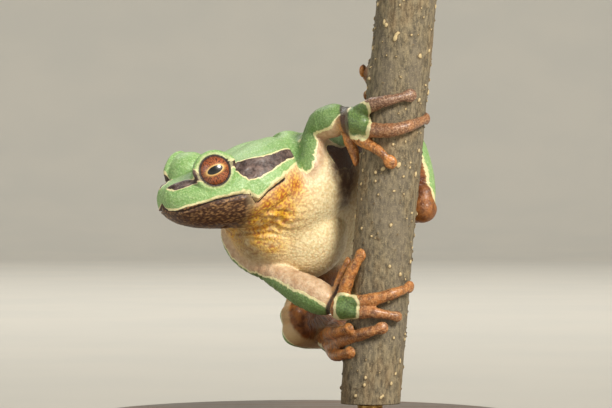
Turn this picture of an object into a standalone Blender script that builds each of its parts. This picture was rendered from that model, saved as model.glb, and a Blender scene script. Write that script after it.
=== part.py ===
"""European tree frog gripping a cut stem, as a life-size model on a round display stand.

Units are metres, +Z up, the viewer looks along +Y. Lengths below are in millimetres
and are scaled once, when a mesh is made. The origin is the middle of the base's underside.
"""
import math

import bmesh
import bpy
from mathutils import Matrix, Vector

MM = 0.001
GAP = 0.3

# Display stand: a turned base and one rod under the stem
BASE_PROFILE = (
    (0.0, 0.0), (30.2, 0.0), (31.0, 0.8), (31.0, 3.6), (29.8, 5.0), (28.9, 5.3), (28.2, 6.0), (0.0, 6.0),
)
BASE_TOP = 6.0
BASE_SIDES = 48
ROD_RADIUS = 1.6
ROD_SIDES = 24
ROD_POINT = (8.0, -8.0)

# Cut length of stem: heights and the axis position at each
STEM_RADIUS = 3.85
STEM_AXIS = (
    (8.05, 8.1), (8.4, 13.5), (9.1, 21.0), (9.6, 27.5), (10.1, 33.5),
    (10.7, 39.5), (11.3, 46.0), (12.0, 52.5), (12.7, 59.5), (13.3, 66.0),
)
STEM_Y = -8.0
STEM_SIDES = 20

# Head axes: forward to the snout, and up out of the crown
HEAD_ORIGIN = Vector((-8.0, -6.8, 35.5))
HEAD_FORWARD = Vector((-0.86, -0.46, -0.21))
HEAD_UP = Vector((-0.18, -0.10, 0.97))
# Head sections: forward position, half width, height above and depth below the axis
HEAD_SECTIONS = (
    (-5.5, 5.8, 5.2, 5.4), (-3.0, 6.6, 5.1, 5.7), (-0.5, 6.9, 4.7, 5.5), (2.0, 6.8, 4.0, 5.2),
    (4.5, 6.3, 3.3, 4.7), (7.0, 5.4, 2.8, 4.1), (8.9, 4.4, 2.4, 3.4), (10.3, 3.4, 2.0, 2.6),
    (11.3, 2.3, 1.5, 1.7), (11.8, 1.2, 0.9, 0.9),
)
HEAD_POWER = 2.3
EYE_RADIUS = 2.3
EYE_PLACE = (5.5, 4.1, 2.7)
EYE_LOOK = (0.36, 0.91, 0.18)
# Lids: a mound behind the eyeball, with a rolled edge round the opening
LID_RADIUS = 2.85
LID_SET_BACK = 0.75
LID_STRETCH = 1.06
LID_OPENING = 2.25
LID_DEPTH = 1.05
LID_RIM = 0.38
NOSTRIL_PLACE = (10.6, 1.65, 1.65)
NOSTRIL_RADIUS = 0.28
NOSTRIL_STRETCH = 1.3
DRUM_PLACE = (1.8, 6.25, 1.9)
DRUM_RADIUS = 0.9
DRUM_FLATNESS = 0.45
# Line of the mouth: forward and up
MOUTH_PATH = (
    (1.9, -1.3), (2.8, -0.75), (5.1, -0.57), (6.8, -0.56), (8.5, -0.83), (10.5, -1.16), (11.5, -1.2),
)
# The groove's depth inside the skin, its reach outside and half its height at the skin
MOUTH_DEPTH = 0.45
MOUTH_REACH = 0.9
MOUTH_HALF = 0.22
# Forward, out and up of the ridge over the tympanum and of the upper lip, with their radii
FOLD_PATH = ((3.6, 5.3, 3.0), (1.6, 5.3, 3.2), (-0.8, 5.6, 3.1), (-3.4, 5.5, 2.8))
FOLD_RADII = (0.5, 0.6, 0.65, 0.5)
LIP_PATH = (
    (1.6, 6.5, -0.9), (4.5, 6.1, -0.05), (7.2, 5.2, -0.05), (9.2, 4.0, -0.35), (10.9, 2.2, -0.65),
    (11.4, 0.0, -0.7),
)
LIP_RADII = (0.35, 0.45, 0.45, 0.42, 0.4, 0.4)
MOUTH_FRONT = 0.5
MOUTH_MIDDLE = 3.0

# Trunk: points from neck to vent with half width and half depth
TRUNK_FORWARD = Vector((-0.605, -0.796, 0.007))
TRUNK_UP = Vector((-0.714, 0.547, 0.442))
TRUNK_POINTS = (
    ((-6.4, -5.5, 34.9), 5.4, 3.8), ((-4.6, -3.7, 33.7), 8.2, 6.4), ((-1.4, -0.2, 33.4), 9.7, 6.8),
    ((1.9, 3.5, 33.5), 9.8, 6.7), ((5.0, 7.4, 33.8), 8.2, 6.1), ((7.9, 11.2, 34.1), 6.1, 4.9),
    ((10.2, 14.4, 34.3), 4.1, 3.6), ((11.6, 16.4, 34.4), 2.5, 2.3),
)
# Turn toward the hips along its length, squareness of its sections, and length of its end domes
TRUNK_TWIST = 2.6
TRUNK_POWER = 2.2
NECK_DOME = 0.5
VENT_DOME = 0.6
# Fullness of the chest, the belly and the left shoulder: middle and radius
BODY_BALLS = (((-4.2, -3.0, 29.6), 5.1), ((-0.5, -1.5, 29.2), 5.8), ((-2.2, -1.6, 38.9), 3.4))
SEAT_SLACK = 0.05

# Limb pieces: points along each and the radius at every point
LIMBS = {
    "upper_arm_left": (
        ((-1.6, -4.6, 35.6), (0.3, -6.9, 37.0), (0.9, -6.2, 39.6), (0.9, -4.5, 41.9)),
        (2.1, 1.9, 1.5, 1.45),
    ),
    "forearm_left": (
        ((0.9, -4.5, 41.9), (2.1, -5.7, 43.0), (3.6, -6.9, 43.5), (4.8, -7.6, 43.7)),
        (1.45, 2.0, 2.1, 1.75),
    ),
    "upper_arm_right": (
        ((-5.6, -0.8, 31.9), (-8.8, -0.9, 29.9), (-8.0, -1.9, 27.0), (-4.9, -4.4, 24.7)),
        (1.9, 2.0, 1.85, 1.55),
    ),
    "forearm_right": (
        ((-4.9, -4.4, 24.7), (-2.6, -5.7, 23.4), (-0.3, -6.9, 22.2), (2.0, -8.0, 21.1), (3.5, -8.7, 20.4)),
        (1.5, 1.75, 2.15, 2.05, 1.4),
    ),
    "thigh_left": (
        ((7.6, 11.0, 34.9), (9.0, 10.6, 35.3), (12.3, 4.2, 33.5), (14.8, -2.9, 32.4)),
        (2.3, 2.9, 2.7, 1.9),
    ),
    "shank_left": (
        ((14.8, -2.4, 34.0), (14.4, 2.2, 36.9), (13.8, 8.5, 40.4), (12.7, 14.6, 43.2)),
        (1.8, 2.0, 1.85, 1.1),
    ),
    "tarsus_left": (
        ((12.7, 14.6, 43.2), (12.1, 11.2, 43.9), (11.6, 7.8, 44.9), (11.1, 4.3, 45.8)),
        (1.1, 1.15, 1.05, 0.95),
    ),
    "thigh_right": (
        ((6.8, 11.6, 32.1), (5.6, 11.6, 29.9), (2.1, 6.0, 24.2), (-1.4, -0.3, 18.6)),
        (2.3, 2.95, 2.85, 2.0),
    ),
    "shank_right": (
        ((-1.2, -0.4, 16.7), (0.3, 4.0, 16.7), (2.7, 9.8, 16.3), (4.8, 15.1, 16.0)),
        (2.0, 2.4, 2.2, 1.2),
    ),
    "tarsus_right": (
        ((4.8, 15.1, 16.0), (4.6, 11.2, 16.5), (4.0, 6.8, 16.7), (2.9, 2.8, 16.2)),
        (1.2, 1.35, 1.35, 1.2),
    ),
}

# The kinds of limb piece that meet the trunk, and the pieces that trim each kind
ON_TRUNK = ("upper_arm", "forearm", "thigh")
TRIMMERS = {
    "upper_arm": (), "forearm": ("upper_arm",), "hand": ("forearm",),
    "thigh": (), "shank": ("thigh",), "tarsus": ("shank",), "foot": ("tarsus", "shank"),
}

# Hands and feet: the palm first, then each digit's points, radii and the radius of its disc
DIGITS = {
    "hand_left": (
        (((4.6, -7.2, 43.6), (5.8, -8.8, 43.3), (6.9, -10.0, 43.0)), (1.4, 1.95, 1.45)),
        (
            ((6.2, -9.2, 44.2), (8.0, -11.2, 45.2), (9.8, -12.5, 45.7), (12.8, -12.1, 46.4)),
            (1.0, 0.92, 0.72, 0.58), 0.9,
        ),
        (
            ((6.7, -9.9, 42.5), (8.8, -11.9, 42.1), (11.1, -12.7, 42.2), (13.4, -11.6, 42.9),
             (15.0, -9.4, 43.6)),
            (1.05, 0.95, 0.85, 0.7, 0.55), 0.8,
        ),
        (
            ((5.9, -9.0, 42.6), (6.5, -9.8, 41.2), (7.9, -11.4, 40.3), (9.2, -12.3, 39.4),
             (10.4, -12.6, 38.2)),
            (1.0, 0.85, 0.72, 0.6, 0.5), 0.88,
        ),
        (
            ((5.2, -8.0, 42.7), (5.4, -8.0, 41.1), (5.9, -8.1, 39.7), (6.2, -8.2, 38.5)),
            (0.9, 0.8, 0.68, 0.55), 0.75,
        ),
    ),
    "hand_right": (
        (((3.3, -8.8, 20.5), (4.6, -9.9, 20.2), (5.6, -10.9, 20.0)), (1.35, 1.75, 1.3)),
        (
            ((4.5, -9.9, 21.2), (4.9, -10.6, 22.7), (5.7, -11.0, 24.7), (6.7, -11.4, 26.6)),
            (1.0, 0.85, 0.72, 0.6), 0.88,
        ),
        (
            ((3.8, -9.0, 21.3), (4.1, -8.7, 22.7), (4.6, -8.6, 24.3), (5.2, -8.6, 25.6)),
            (0.9, 0.75, 0.62, 0.5), 0.75,
        ),
        (
            ((5.2, -10.8, 20.8), (7.0, -12.1, 21.0), (9.0, -12.7, 21.4), (11.2, -12.4, 22.1),
             (12.8, -10.9, 22.7)),
            (1.0, 0.9, 0.78, 0.68, 0.55), 0.85,
        ),
        (
            ((5.2, -10.8, 19.6), (6.7, -12.1, 19.6), (8.4, -12.7, 19.6), (11.2, -12.1, 19.1)),
            (0.95, 0.85, 0.7, 0.58), 0.75,
        ),
    ),
    "foot_left": (
        (((11.1, 4.8, 45.7), (10.9, 2.6, 46.4), (10.6, 0.2, 46.9)), (1.0, 1.4, 1.2)),
        (
            ((10.8, 1.2, 46.8), (9.8, -0.6, 47.5), (8.4, -3.0, 48.4), (7.2, -6.3, 49.7)),
            (1.0, 0.85, 0.7, 0.58), 0.9,
        ),
        (
            ((10.6, 1.0, 46.4), (9.6, -0.9, 46.3), (8.6, -2.6, 46.4), (7.9, -4.6, 46.7)),
            (0.9, 0.8, 0.65, 0.55), 0.8,
        ),
        (
            ((10.9, 1.2, 47.1), (10.9, -1.0, 48.7), (10.8, -2.8, 50.1), (10.6, -3.6, 51.7)),
            (0.9, 0.8, 0.65, 0.55), 0.8,
        ),
        (
            ((11.1, 1.0, 46.5), (12.0, -1.4, 46.7), (12.9, -3.1, 47.1), (13.9, -4.5, 47.7)),
            (0.85, 0.7, 0.55, 0.5), 0.75,
        ),
        (
            ((11.1, 1.0, 46.1), (11.8, -1.6, 45.1), (12.4, -3.2, 44.1), (13.0, -4.1, 43.3)),
            (0.8, 0.65, 0.55, 0.45), 0.7,
        ),
    ),
    "foot_right": (
        (((2.8, 3.2, 16.1), (2.9, 0.8, 15.7), (3.2, -1.8, 15.5)), (1.15, 1.55, 1.3)),
        (
            ((3.2, -0.6, 15.2), (3.6, -4.2, 15.3), (5.0, -9.0, 16.1), (7.5, -12.3, 17.1),
             (9.3, -12.8, 17.7)),
            (1.2, 1.0, 0.85, 0.72, 0.58), 0.85,
        ),
        (
            ((3.3, -0.8, 16.0), (2.9, -4.6, 16.7), (3.7, -8.4, 17.0), (5.2, -11.2, 17.5)),
            (1.05, 0.9, 0.75, 0.6), 0.85,
        ),
        (
            ((3.4, -0.6, 14.7), (3.6, -4.4, 14.2), (4.1, -8.4, 14.1), (5.4, -11.3, 14.6)),
            (1.1, 0.95, 0.75, 0.6), 0.85,
        ),
        (
            ((3.8, -0.6, 15.0), (5.8, -2.6, 14.3), (7.6, -3.4, 13.6), (9.2, -3.5, 13.0)),
            (0.85, 0.7, 0.55, 0.5), 0.75,
        ),
        (
            ((3.7, -0.8, 15.8), (5.4, -3.0, 16.5), (6.9, -3.8, 17.2), (8.4, -3.8, 18.0)),
            (0.8, 0.65, 0.55, 0.45), 0.7,
        ),
    ),
}
# Discs at the digits' ends: thickness, and width and length as shares of the radius
PAD_THICKNESS = 0.42
PAD_WIDTH = 0.95
PAD_LENGTH = 1.1

# Mesh density
RING_SIDES = 14
PATH_STEPS = 5
CAP_STEPS = 4
LIMB_STEPS = 4
TRUNK_SIDES = 26
HEAD_SIDES = 36
LIP_SIDES = 12
DIGIT_SIDES = 12
PALM_SIDES = 16
LID_STEPS = 16
# Voxel size and the share of the remeshed faces kept, for each kind of body
TRUNK_VOXEL = 0.5
HEAD_VOXEL = 0.22
DIGIT_VOXEL = 0.2
TRUNK_DETAIL = 0.1
HEAD_DETAIL = 0.042
DIGIT_DETAIL = 0.062
MERGE = 0.000002


def material(name, colour, roughness, metallic=0.0):
    """A plain Principled material."""
    made = bpy.data.materials.new(name)
    made.use_nodes = True
    shader = made.node_tree.nodes["Principled BSDF"]
    shader.inputs["Base Color"].default_value = (*colour, 1.0)
    shader.inputs["Roughness"].default_value = roughness
    shader.inputs["Metallic"].default_value = metallic
    return made


def mesh_object(name, bm, paint=None):
    """Turn a bmesh in millimetres into an object in metres."""
    bmesh.ops.recalc_face_normals(bm, faces=bm.faces)
    bmesh.ops.scale(bm, vec=(MM, MM, MM), verts=bm.verts)
    mesh = bpy.data.meshes.new(name)
    bm.to_mesh(mesh)
    bm.free()
    mesh.shade_smooth()
    made = bpy.data.objects.new(name, mesh)
    bpy.context.scene.collection.objects.link(made)
    if paint is not None:
        mesh.materials.append(paint)
    return made


def bridge(bm, rings):
    """Skin a list of closed rings and fan both ends."""
    for low, high in zip(rings, rings[1:]):
        count = len(low)
        for index in range(count):
            after = (index + 1) % count
            bm.faces.new((low[index], low[after], high[after], high[index]))
    bm.faces.new(list(reversed(rings[0])))
    bm.faces.new(rings[-1])


def section(bm, centre, side, up, half, above, below, power=2.0, sides=RING_SIDES):
    """One closed ring, a superellipse with its own height above and below."""
    ring = []
    for index in range(sides):
        angle = 2.0 * math.pi * index / sides
        across = math.copysign(abs(math.cos(angle)) ** (2.0 / power), math.cos(angle)) * half
        height = math.copysign(abs(math.sin(angle)) ** (2.0 / power), math.sin(angle))
        height *= above if height > 0.0 else below
        ring.append(bm.verts.new(centre + side * across + up * height))
    return ring


def circle(bm, centre, side, up, radius, sides=RING_SIDES):
    """One closed round ring."""
    return section(bm, centre, side, up, radius, radius, radius, 2.0, sides)


def cap_angles():
    """Angles of a domed end's rings, from its rim to its top."""
    return [0.5 * math.pi * step / (CAP_STEPS + 0.5) for step in range(1, CAP_STEPS + 1)]


def smooth_rows(rows, steps=PATH_STEPS):
    """Catmull-Rom rows of numbers through the given ones."""
    fine = []
    for index in range(len(rows) - 1):
        before = rows[max(index - 1, 0)]
        start = rows[index]
        end = rows[index + 1]
        after = rows[min(index + 2, len(rows) - 1)]
        for step in range(steps):
            t = step / steps
            row = []
            for a, b, c, d in zip(before, start, end, after):
                slope = (c - a) * t
                square = (2 * a - 5 * b + 4 * c - d) * t ** 2
                cube = (3 * b - a - 3 * c + d) * t ** 3
                row.append(0.5 * (2 * b + slope + square + cube))
            fine.append(row)
    fine.append(list(rows[-1]))
    return fine


def tube(bm, points, radii, grow=0.0, steps=PATH_STEPS, sides=RING_SIDES):
    """A round limb along a smooth path, with domed ends."""
    rows = smooth_rows([(*point, radius) for point, radius in zip(points, radii)], steps)
    centres = [Vector(row[:3]) for row in rows]
    sizes = [row[3] + grow for row in rows]
    tangents = []
    for index in range(len(centres)):
        ahead = centres[min(index + 1, len(centres) - 1)]
        behind = centres[max(index - 1, 0)]
        tangents.append((ahead - behind).normalized())
    side = tangents[0].orthogonal().normalized()
    rings = []
    for index in range(len(centres)):
        tangent = tangents[index]
        side = (side - tangent * side.dot(tangent)).normalized()
        up = tangent.cross(side)
        if index == 0:
            for angle in reversed(cap_angles()):
                place = centres[0] - tangent * sizes[0] * math.sin(angle)
                rings.append(circle(bm, place, side, up, sizes[0] * math.cos(angle), sides))
        rings.append(circle(bm, centres[index], side, up, sizes[index], sides))
    for angle in cap_angles():
        place = centres[-1] + tangent * sizes[-1] * math.sin(angle)
        rings.append(circle(bm, place, side, up, sizes[-1] * math.cos(angle), sides))
    bridge(bm, rings)


def ball(bm, centre, radius, scale=(1.0, 1.0, 1.0), axes=None, segments=24, rings=14):
    """An ellipsoid, its axes turned by a 3x3 matrix where one is given."""
    turn = axes.to_4x4() if axes is not None else Matrix.Identity(4)
    place = Matrix.Translation(centre) @ turn @ Matrix.Diagonal((*scale, 1.0))
    bmesh.ops.create_uvsphere(bm, u_segments=segments, v_segments=rings, radius=radius, matrix=place)


def axes_of(forward, up):
    """A 3x3 matrix whose columns are forward, left and up."""
    ahead = forward.normalized()
    left = up.cross(ahead).normalized()
    above = ahead.cross(left)
    return Matrix((ahead, left, above)).transposed()


WORLD_X = Vector((1.0, 0.0, 0.0))
WORLD_Y = Vector((0.0, 1.0, 0.0))
HEAD_AXES = axes_of(HEAD_FORWARD, HEAD_UP)
TRUNK_AXES = axes_of(TRUNK_FORWARD, TRUNK_UP)


def on_head(place):
    """A point given forward, left and up of the head's origin."""
    return HEAD_ORIGIN + HEAD_AXES @ Vector(place)


def mirrored(place, side):
    """A head point on side +1 (left) or -1 (right)."""
    return on_head((place[0], place[1] * side, place[2]))


def stem_axis(height):
    """The stem's axis point at a height."""
    rows = STEM_AXIS
    for (low_x, low_z), (high_x, high_z) in zip(rows, rows[1:]):
        if height <= high_z or high_z == rows[-1][1]:
            share = (height - low_z) / (high_z - low_z)
            return Vector((low_x + (high_x - low_x) * share, STEM_Y, height))


def stem_shell(bm, grow=0.0):
    """The stem's body, round, with its ends cut square."""
    rings = []
    for x, z in smooth_rows(STEM_AXIS, 2):
        place = Vector((x, STEM_Y, z))
        rings.append(circle(bm, place, WORLD_X, WORLD_Y, STEM_RADIUS + grow, STEM_SIDES))
    bridge(bm, rings)


def trunk_ring(bm, place, side, up, half, depth, share):
    """One ring of the trunk, drawn in by a share."""
    return section(bm, place, side, up, half * share, depth * share, depth * share, TRUNK_POWER, TRUNK_SIDES)


def trunk_shell(bm, grow=0.0):
    """The trunk, its sections turning from the head's axes to the hips' axes."""
    rows = smooth_rows([(*point, half, depth) for point, half, depth in TRUNK_POINTS], 4)
    start = HEAD_AXES.to_quaternion()
    end = TRUNK_AXES.to_quaternion()
    rings = []
    last = len(rows) - 1
    for index, row in enumerate(rows):
        centre = Vector(row[:3])
        ahead = Vector(rows[max(index - 1, 0)][:3]) - Vector(rows[min(index + 1, last)][:3])
        turn = start.slerp(end, min(1.0, index / last * TRUNK_TWIST)).to_matrix()
        ahead.normalize()
        up = turn.col[2] - ahead * ahead.dot(turn.col[2])
        up.normalize()
        side = up.cross(ahead)
        half = row[3] + grow
        depth = row[4] + grow
        if index == 0:
            for angle in reversed(cap_angles()):
                place = centre + ahead * half * NECK_DOME * math.sin(angle)
                rings.append(trunk_ring(bm, place, side, up, half, depth, math.cos(angle)))
        rings.append(trunk_ring(bm, centre, side, up, half, depth, 1.0))
    for angle in cap_angles():
        place = centre - ahead * half * VENT_DOME * math.sin(angle)
        rings.append(trunk_ring(bm, place, side, up, half, depth, math.cos(angle)))
    bridge(bm, rings)


def body_shells(bm, grow=0.0):
    """The trunk together with the fullness of its lower side."""
    trunk_shell(bm, grow)
    for middle, radius in BODY_BALLS:
        ball(bm, Vector(middle), radius + grow)


def head_shell(bm):
    """The head, from the neck to the rounded snout."""
    ahead, left, above = HEAD_AXES.col
    rings = []
    for forward, half, high, low in smooth_rows(HEAD_SECTIONS, 4):
        place = HEAD_ORIGIN + ahead * forward
        rings.append(section(bm, place, left, above, half, high, low, HEAD_POWER, HEAD_SIDES))
    bridge(bm, rings)


def lid_places(side):
    """Eyeball centre and look direction for side +1 (left) or -1 (right)."""
    forward, out, up = EYE_PLACE
    look = HEAD_AXES @ Vector((EYE_LOOK[0], EYE_LOOK[1] * side, EYE_LOOK[2])).normalized()
    return on_head((forward, out * side, up)), look


def lid_rim(side):
    """Points round the eye's opening, for the lids' edge."""
    centre, look = lid_places(side)
    across = (HEAD_AXES.col[0] - look * look.dot(HEAD_AXES.col[0])).normalized()
    above = look.cross(across)
    points = []
    for step in range(LID_STEPS + 1):
        angle = 2.0 * math.pi * step / LID_STEPS
        round_it = across * math.cos(angle) + above * math.sin(angle)
        points.append(centre + look * LID_DEPTH + round_it * LID_OPENING)
    return points


def remeshed(target, voxel, smoothing, ratio):
    """Fuse overlapping shells, even them out and thin the mesh."""
    fuse = target.modifiers.new("fuse", "REMESH")
    fuse.mode = "VOXEL"
    fuse.voxel_size = voxel * MM
    fuse.use_smooth_shade = True
    even = target.modifiers.new("even", "SMOOTH")
    even.factor = 0.5
    even.iterations = smoothing
    thin = target.modifiers.new("thin", "DECIMATE")
    thin.ratio = ratio
    thin.use_collapse_triangulate = True


def cut(target, cutter, solver="MANIFOLD"):
    """Take the cutter's volume off the target."""
    cutter.hide_render = True
    cutter.display_type = "WIRE"
    taken = target.modifiers.new("cut " + cutter.name, "BOOLEAN")
    taken.operation = "DIFFERENCE"
    taken.solver = solver
    taken.object = cutter


def settle(target):
    """Apply the modifiers and keep only the largest closed surface."""
    graph = bpy.context.evaluated_depsgraph_get()
    mesh = bpy.data.meshes.new_from_object(target.evaluated_get(graph), depsgraph=graph)
    bm = bmesh.new()
    bm.from_mesh(mesh)
    bmesh.ops.remove_doubles(bm, verts=bm.verts, dist=MERGE)
    bmesh.ops.dissolve_degenerate(bm, edges=bm.edges, dist=MERGE)
    rim = [edge for edge in bm.edges if edge.is_boundary]
    if rim:
        bmesh.ops.holes_fill(bm, edges=rim, sides=12)
    bmesh.ops.triangulate(bm, faces=bm.faces)
    bm.faces.ensure_lookup_table()
    seen = set()
    islands = []
    for face in bm.faces:
        if face.index in seen:
            continue
        island = []
        queue = [face]
        seen.add(face.index)
        while queue:
            current = queue.pop()
            island.append(current)
            for edge in current.edges:
                for neighbour in edge.link_faces:
                    if neighbour.index not in seen:
                        seen.add(neighbour.index)
                        queue.append(neighbour)
        islands.append(island)
    islands.sort(key=len, reverse=True)
    spare = [face for island in islands[1:] for face in island]
    if spare:
        bmesh.ops.delete(bm, geom=spare, context="FACES")
        loose = [vert for vert in bm.verts if not vert.link_faces]
        bmesh.ops.delete(bm, geom=loose, context="VERTS")
    bm.to_mesh(mesh)
    bm.free()
    mesh.shade_smooth()
    target.modifiers.clear()
    target.data = mesh


def cutter_object(name, build, *args, **options):
    """A cutter made from one shell function."""
    bm = bmesh.new()
    build(bm, *args, **options)
    made = mesh_object(name, bm)
    made.hide_render = True
    made.display_type = "WIRE"
    return made


def make_stand(base_paint, rod_paint, stem_paint):
    """Base, rod and stem."""
    bm = bmesh.new()
    profile = [bm.verts.new((radius, 0.0, height)) for radius, height in BASE_PROFILE]
    edges = [bm.edges.new(pair) for pair in zip(profile, profile[1:])]
    bmesh.ops.spin(
        bm, geom=profile + edges, cent=(0, 0, 0), axis=(0, 0, 1),
        angle=2.0 * math.pi, steps=BASE_SIDES, use_merge=True,
    )
    bmesh.ops.remove_doubles(bm, verts=bm.verts, dist=0.001)
    mesh_object("stand_base", bm, base_paint)
    bm = bmesh.new()
    low = Vector((*ROD_POINT, BASE_TOP + GAP))
    high = Vector((*ROD_POINT, STEM_AXIS[0][1] - GAP))
    bridge(bm, [circle(bm, place, WORLD_X, WORLD_Y, ROD_RADIUS, ROD_SIDES) for place in (low, high)])
    mesh_object("stand_rod", bm, rod_paint)
    bm = bmesh.new()
    stem_shell(bm)
    mesh_object("perch", bm, stem_paint)


def make_trunk(paint):
    """Trunk with its shoulders, and the slightly larger one that trims what sits on it."""
    bm = bmesh.new()
    body_shells(bm)
    trunk = mesh_object("trunk", bm, paint)
    remeshed(trunk, TRUNK_VOXEL, 3, TRUNK_DETAIL)
    settle(trunk)
    seat = cutter_object("trunk_seat", body_shells, grow=GAP + SEAT_SLACK)
    remeshed(seat, TRUNK_VOXEL, 3, TRUNK_DETAIL)
    settle(seat)
    return seat


def make_head(paint, eye_paint, seat):
    """Head with lids, lips, nostrils and tympanum, and the two eyes."""
    bm = bmesh.new()
    head_shell(bm)
    for side in (1, -1):
        centre, look = lid_places(side)
        ball(bm, centre - look * LID_SET_BACK, LID_RADIUS, (LID_STRETCH, 1.0, 1.0), HEAD_AXES)
        rim = lid_rim(side)
        tube(bm, rim, [LID_RIM] * len(rim), steps=2, sides=8)
        fold = [mirrored(place, side) for place in FOLD_PATH]
        tube(bm, fold, FOLD_RADII, sides=LIP_SIDES)
        drum = mirrored(DRUM_PLACE, side)
        ball(bm, drum, DRUM_RADIUS, (1.0, DRUM_FLATNESS, 1.0), HEAD_AXES, 20, 10)
        lip = [mirrored(place, side) for place in LIP_PATH]
        tube(bm, lip, LIP_RADII, sides=LIP_SIDES)
    head = mesh_object("head", bm, paint)
    remeshed(head, HEAD_VOXEL, 3, HEAD_DETAIL)
    cut(head, seat)
    for side, word in ((1, "left"), (-1, "right")):
        centre = lid_places(side)[0]
        arm = LIMBS["upper_arm_" + word]
        nostril = mirrored(NOSTRIL_PLACE, side)
        hole = (NOSTRIL_STRETCH, 1.0, 1.0)
        cut(head, cutter_object("socket_" + word, ball, centre, EYE_RADIUS + GAP))
        cut(head, cutter_object("arm_side_" + word, tube, *arm, grow=GAP, steps=LIMB_STEPS))
        cut(head, cutter_object("nostril_" + word, ball, nostril, NOSTRIL_RADIUS, hole, HEAD_AXES, 10, 6))
        bm = bmesh.new()
        ball(bm, centre, EYE_RADIUS, segments=20, rings=12)
        mesh_object("eye_" + word, bm, eye_paint)
    cut(head, cutter_object("mouth_cut", mouth_shell))
    settle(head)


def head_half(forward):
    """The head's half width at a forward position."""
    for (start, wide, _, _), (end, narrow, _, _) in zip(HEAD_SECTIONS, HEAD_SECTIONS[1:]):
        if start <= forward <= end:
            return wide + (narrow - wide) * (forward - start) / (end - start)
    return 0.0


def mouth_shell(bm):
    """A thin horseshoe strip standing in the lip line, to groove the mouth."""
    outer = [(forward, head_half(forward), up) for forward, up in MOUTH_PATH]
    front = (MOUTH_PATH[-1][0] + MOUTH_FRONT, 0.0, MOUTH_PATH[-1][1])
    loop = outer + [front] + [(f, -h, u) for f, h, u in reversed(outer)]
    rings = []
    for index, (f, h, u) in enumerate(loop):
        before = Vector(loop[max(index - 1, 0)][:2])
        after = Vector(loop[min(index + 1, len(loop) - 1)][:2])
        tangent = (after - before).normalized()
        out = Vector((-tangent.y, tangent.x))
        if out.dot(Vector((f - MOUTH_MIDDLE, h))) < 0.0:
            out = -out
        deep = Vector((f, h)) - out * MOUTH_DEPTH
        wide = Vector((f, h)) + out * MOUTH_REACH
        corners = [on_head((deep.x, deep.y, u))]
        corners.append(on_head((wide.x, wide.y, u - MOUTH_HALF)))
        corners.append(on_head((wide.x, wide.y, u + MOUTH_HALF)))
        rings.append([bm.verts.new(corner) for corner in corners])
    bridge(bm, rings)


def make_limbs(green, digit, seat):
    """Arms and legs: each piece is trimmed by the one that carries it."""
    for name, (points, radii) in LIMBS.items():
        kind = name.rsplit("_", 1)[0]
        bm = bmesh.new()
        tube(bm, points, radii, steps=LIMB_STEPS)
        limb = mesh_object(name, bm, green)
        if kind in ON_TRUNK:
            cut(limb, seat)
        trim(limb)
        settle(limb)
    for name, paths in DIGITS.items():
        bm = bmesh.new()
        tube(bm, *paths[0], sides=PALM_SIDES)
        for points, radii, disc in paths[1:]:
            tube(bm, points, radii, sides=DIGIT_SIDES)
            pad(bm, Vector(points[-1]), Vector(points[-2]), disc)
        made = mesh_object(name, bm, digit)
        remeshed(made, DIGIT_VOXEL, 2, DIGIT_DETAIL)
        trim(made)
        cut(made, cutter_object(name + "_grip", stem_shell, grow=GAP), "EXACT")
        settle(made)


def trim(piece):
    """Cut a limb piece back from the ones that carry it."""
    kind, side = piece.name.rsplit("_", 1)
    for other in TRIMMERS[kind]:
        carrier = LIMBS[other + "_" + side]
        seat = cutter_object(piece.name + "_on_" + other, tube, *carrier, grow=GAP, steps=LIMB_STEPS)
        cut(piece, seat, "EXACT")


def pad(bm, tip, before, radius):
    """A digit's disc, its face toward the stem."""
    outward = tip - stem_axis(tip.z)
    outward.z = 0.0
    outward.normalize()
    along = tip - before
    along -= outward * along.dot(outward)
    shape = (PAD_THICKNESS / radius, PAD_WIDTH, PAD_LENGTH)
    ball(bm, tip, radius, shape, axes_of(outward, along), 18, 10)


def build():
    """Clear the scene and make every piece."""
    for old in list(bpy.data.objects):
        bpy.data.objects.remove(old)
    skin = material("skin_green", (0.28, 0.52, 0.18), 0.42)
    limb = material("skin_limb", (0.33, 0.53, 0.22), 0.45)
    digit = material("skin_digit", (0.55, 0.24, 0.09), 0.5)
    eye = material("eye_copper", (0.42, 0.15, 0.05), 0.08)
    bark = material("bark", (0.23, 0.20, 0.13), 0.85)
    wood = material("stand_wood", (0.16, 0.09, 0.05), 0.45)
    brass = material("stand_brass", (0.72, 0.52, 0.24), 0.3, 1.0)
    make_stand(wood, brass, bark)
    seat = make_trunk(skin)
    make_head(skin, eye, seat)
    make_limbs(limb, digit, seat)


build()
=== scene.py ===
"""A european tree frog, life size, gripping a short length of cut stem on a display stand."""

import math

import bmesh
import bpy
import numpy as np
from mathutils import Matrix, Vector


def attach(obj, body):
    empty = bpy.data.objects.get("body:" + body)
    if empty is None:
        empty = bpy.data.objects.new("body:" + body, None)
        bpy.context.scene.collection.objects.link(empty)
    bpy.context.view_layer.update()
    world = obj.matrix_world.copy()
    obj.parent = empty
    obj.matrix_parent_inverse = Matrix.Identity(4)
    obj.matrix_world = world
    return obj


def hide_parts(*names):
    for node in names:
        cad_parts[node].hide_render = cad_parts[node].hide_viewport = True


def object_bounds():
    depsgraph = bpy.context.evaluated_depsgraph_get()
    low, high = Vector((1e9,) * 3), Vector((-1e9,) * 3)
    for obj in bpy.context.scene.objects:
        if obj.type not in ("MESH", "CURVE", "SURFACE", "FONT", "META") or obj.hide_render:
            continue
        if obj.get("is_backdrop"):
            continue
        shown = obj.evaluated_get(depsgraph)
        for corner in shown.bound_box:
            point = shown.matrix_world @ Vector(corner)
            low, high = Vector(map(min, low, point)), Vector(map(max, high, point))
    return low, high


MM = 0.001

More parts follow.
